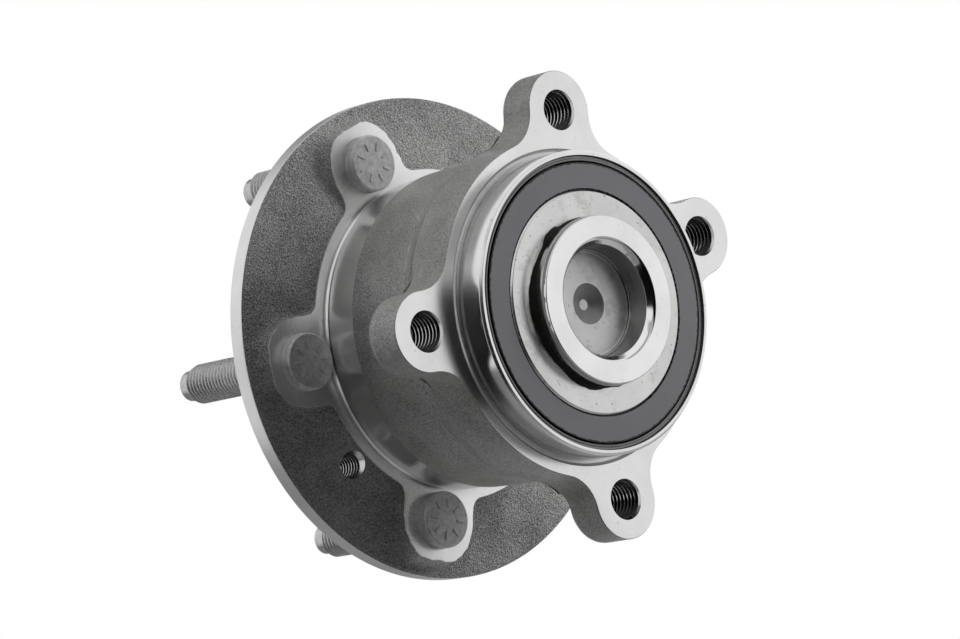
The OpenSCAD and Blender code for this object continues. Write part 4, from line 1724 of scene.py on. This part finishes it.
class HiddenParts:
    """The exact parts inside the bearing, which only need their finishes."""

    FINISHES = {
        "cage": Finish.CAGE,
        "ball": Finish.BALL,
        "lips": Finish.RUBBER,
        "case": Finish.SEAL_CASE,
        "slinger": Finish.SLINGER,
    }

    def build(self, nodes: dict[str, Piece]) -> None:
        """Gives each node that stays its finish.

        Args:
            nodes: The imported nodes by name.
        """
        for name, node in nodes.items():
            finish = next((f for word, f in self.FINISHES.items() if word in name), None)
            if finish is None:
                continue
            node.data.materials.clear()
            node.data.materials.append(Paint.get(finish))
            LOG.info("%s: %s", name, finish.name)


def direction(azimuth: float, elevation: float) -> Vector:
    """Returns the direction at an azimuth from -Y towards +X and an elevation, in degrees."""
    a, e = math.radians(azimuth), math.radians(elevation)
    return Vector((math.sin(a) * math.cos(e), -math.cos(a) * math.cos(e), math.sin(e)))


def facing(where: Vector) -> Matrix:
    """Returns the move that puts a thing at a place and turns its front towards the object."""
    return Matrix.Translation(where) @ where.to_track_quat("Z", "Y").to_matrix().to_4x4()


@dataclass(frozen=True)
class SoftBox:
    """A square soft box that faces the object. Neither the camera nor gloss sees it.

    Attributes:
        name: The lamp's name.
        where: Its place.
        size: Its side in metres.
        radiance: How bright its surface looks, where 1 is white.
    """

    name: str
    where: tuple[float, float, float]
    size: float
    radiance: float

    def build(self) -> None:
        """Adds the lamp."""
        data = bpy.data.lights.new(self.name, "AREA")
        data.shape, data.size = "SQUARE", self.size
        data.energy = self.radiance * math.pi * self.size * self.size
        lamp = bpy.data.objects.new(self.name, data)
        bpy.context.scene.collection.objects.link(lamp)
        lamp.visible_glossy = False
        lamp.visible_camera = False
        lamp.matrix_world = facing(Vector(self.where))


@dataclass(frozen=True)
class Card:
    """An evenly grey card that only shows in reflections, as a studio hangs them round metal.

    Attributes:
        name: The card's name.
        azimuth: Its direction round the object in degrees, as the camera's.
        elevation: Its height above the horizon in degrees.
        distance: Its distance in metres.
        width: Its width in metres.
        height: Its height in metres.
        tone: Its grey, from 0 for black to 1 for white, which no lamp changes.
    """

    name: str
    azimuth: float
    elevation: float
    distance: float
    width: float
    height: float
    tone: float

    def build(self) -> None:
        """Hangs the card."""
        clear_selection()
        bpy.ops.mesh.primitive_plane_add(size=1)
        obj = bpy.context.object
        obj.name = self.name
        where = direction(self.azimuth, self.elevation) * self.distance
        obj.matrix_world = facing(where) @ Matrix.Diagonal((self.width, self.height, 1, 1))
        glow = (self.tone, self.tone, self.tone, 1.0)
        obj.data.materials.append(Graph(self.name + "_cloth").finish(
            (0.0, 0.0, 0.0), 1.0, Specular_IOR_Level=0.0, Emission_Color=glow,
            Emission_Strength=1.0))
        obj.visible_camera = False
        obj.visible_diffuse = False
        obj.visible_shadow = False


@dataclass
class Studio:
    """Camera, lamps, cards, floor and background.

    Attributes:
        azimuth: Where the camera stands round the object, in degrees.
        elevation: Its height above the horizon, in degrees.
        roll: Its turn about the line of sight, in degrees.
        distance: Its distance from the point that it aims at, in metres.
        aim: That point.
        lens: Focal length for a sensor 36 mm wide.
        fill: How bright the surroundings are where they only fill the shadows.
        floor_height: Height of the floor.
        floor_r: Radius of the floor.
        lamps: The soft boxes.
        cards: The cards.
    """

    azimuth: float = -42.27
    elevation: float = 0.76
    roll: float = 12.88
    distance: float = 1.35025
    aim: tuple[float, float, float] = (0.01115, -0.0164, 0.00188)
    lens: float = 167.13
    fill: float = 0.08
    floor_height: float = -0.62
    floor_r: float = 1.6
    lamps: tuple[SoftBox, ...] = (
        SoftBox("key", (0.95, -0.9, 0.42), 0.8, 6.4),
        SoftBox("top", (-0.25, 0.05, 1.1), 0.8, 1.8),
        SoftBox("low", (0.05, 0.15, -0.58), 0.4, 2.6),
    )
    cards: tuple[Card, ...] = (
        Card("camera_card", -20, -7, 0.62, 1.12, 0.76, 0.002),
        Card("left_card", -110, -5, 0.62, 0.34, 0.48, 0.01),
        Card("front_top_card", 8, 41, 0.62, 0.76, 0.32, 0.45),
        Card("low_card", 8, -46, 0.62, 0.9, 0.34, 0.25),
        Card("low_right_card", 33, -26, 0.63, 0.21, 0.28, 0.4),
        Card("back_top_card", 153, 34, 0.62, 0.34, 0.24, 0.05),
    )

    def camera(self) -> None:
        """Sets up the camera at the photograph's angle."""
        back = direction(self.azimuth, self.elevation)
        right = Vector((0, 0, 1)).cross(back).normalized()
        up = back.cross(right)
        roll = math.radians(self.roll)
        tilted_up = up * math.cos(roll) + right * math.sin(roll)
        tilted_right = tilted_up.cross(back)
        turn = Matrix((tilted_right, tilted_up, back)).transposed()
        data = bpy.data.cameras.new("photo_camera")
        data.lens, data.sensor_width = self.lens, 36.0
        data.clip_start, data.clip_end = 0.05, 50.0
        cam = bpy.data.objects.new("photo_camera", data)
        bpy.context.scene.collection.objects.link(cam)
        place_at = Vector(self.aim) + back * self.distance
        cam.matrix_world = Matrix.Translation(place_at) @ turn.to_4x4()
        bpy.context.scene.camera = cam

    def world(self) -> None:
        """Makes the white surroundings, dimmer where they only fill the shadows."""
        world = bpy.data.worlds.new("studio")
        bpy.context.scene.world = world
        world.use_nodes = True
        nodes, links = world.node_tree.nodes, world.node_tree.links
        white, dim = nodes["Background"], nodes.new("ShaderNodeBackground")
        for background, strength in ((white, 1.0), (dim, self.fill)):
            background.inputs["Color"].default_value = (1, 1, 1, 1)
            background.inputs["Strength"].default_value = strength
        rays = nodes.new("ShaderNodeLightPath").outputs
        seen = rays["Is Camera Ray"]
        for kind in ("Is Glossy Ray", "Is Transmission Ray"):
            either = nodes.new("ShaderNodeMath")
            either.operation = "MAXIMUM"
            links.new(seen, either.inputs[0])
            links.new(rays[kind], either.inputs[1])
            seen = either.outputs[0]
        mix = nodes.new("ShaderNodeMixShader")
        for socket, source in zip(mix.inputs, (seen, dim.outputs[0], white.outputs[0])):
            links.new(source, socket)
        links.new(mix.outputs[0], nodes["World Output"].inputs["Surface"])

    def floor(self) -> None:
        """Lays the plain pale floor."""
        clear_selection()
        bpy.ops.mesh.primitive_circle_add(vertices=128, radius=self.floor_r, fill_type="NGON",
                                          location=(0, 0, self.floor_height))
        obj = bpy.context.object
        obj.name = "floor"
        obj.data.materials.append(Graph("pale_floor").finish((0.95, 0.95, 0.95), 0.8))
        obj.visible_diffuse = False

    def build(self) -> None:
        """Builds the studio."""
        self.camera()
        self.world()
        for thing in (*self.lamps, *self.cards):
            thing.build()
        self.floor()
        bpy.context.scene.view_settings.view_transform = "Standard"
        LOG.info("studio: %d lamps, %d cards", len(self.lamps), len(self.cards))


def corners(box: tuple[Vector, Vector]) -> list[list[float]]:
    """Returns a box as plain lists of numbers."""
    return [list(box[0]), list(box[1])]


def main() -> None:
    """Loads the frame, dresses the unit and sets up the studio."""
    logging.basicConfig(level=logging.INFO, format="%(message)s")
    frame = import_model()
    Studio().build()
    HiddenParts().build(frame["nodes"])
    Spindle().build()
    OuterRing().build()
    Studs().build()
    SealedEnd().build()


if __name__ == "__main__":
    main()
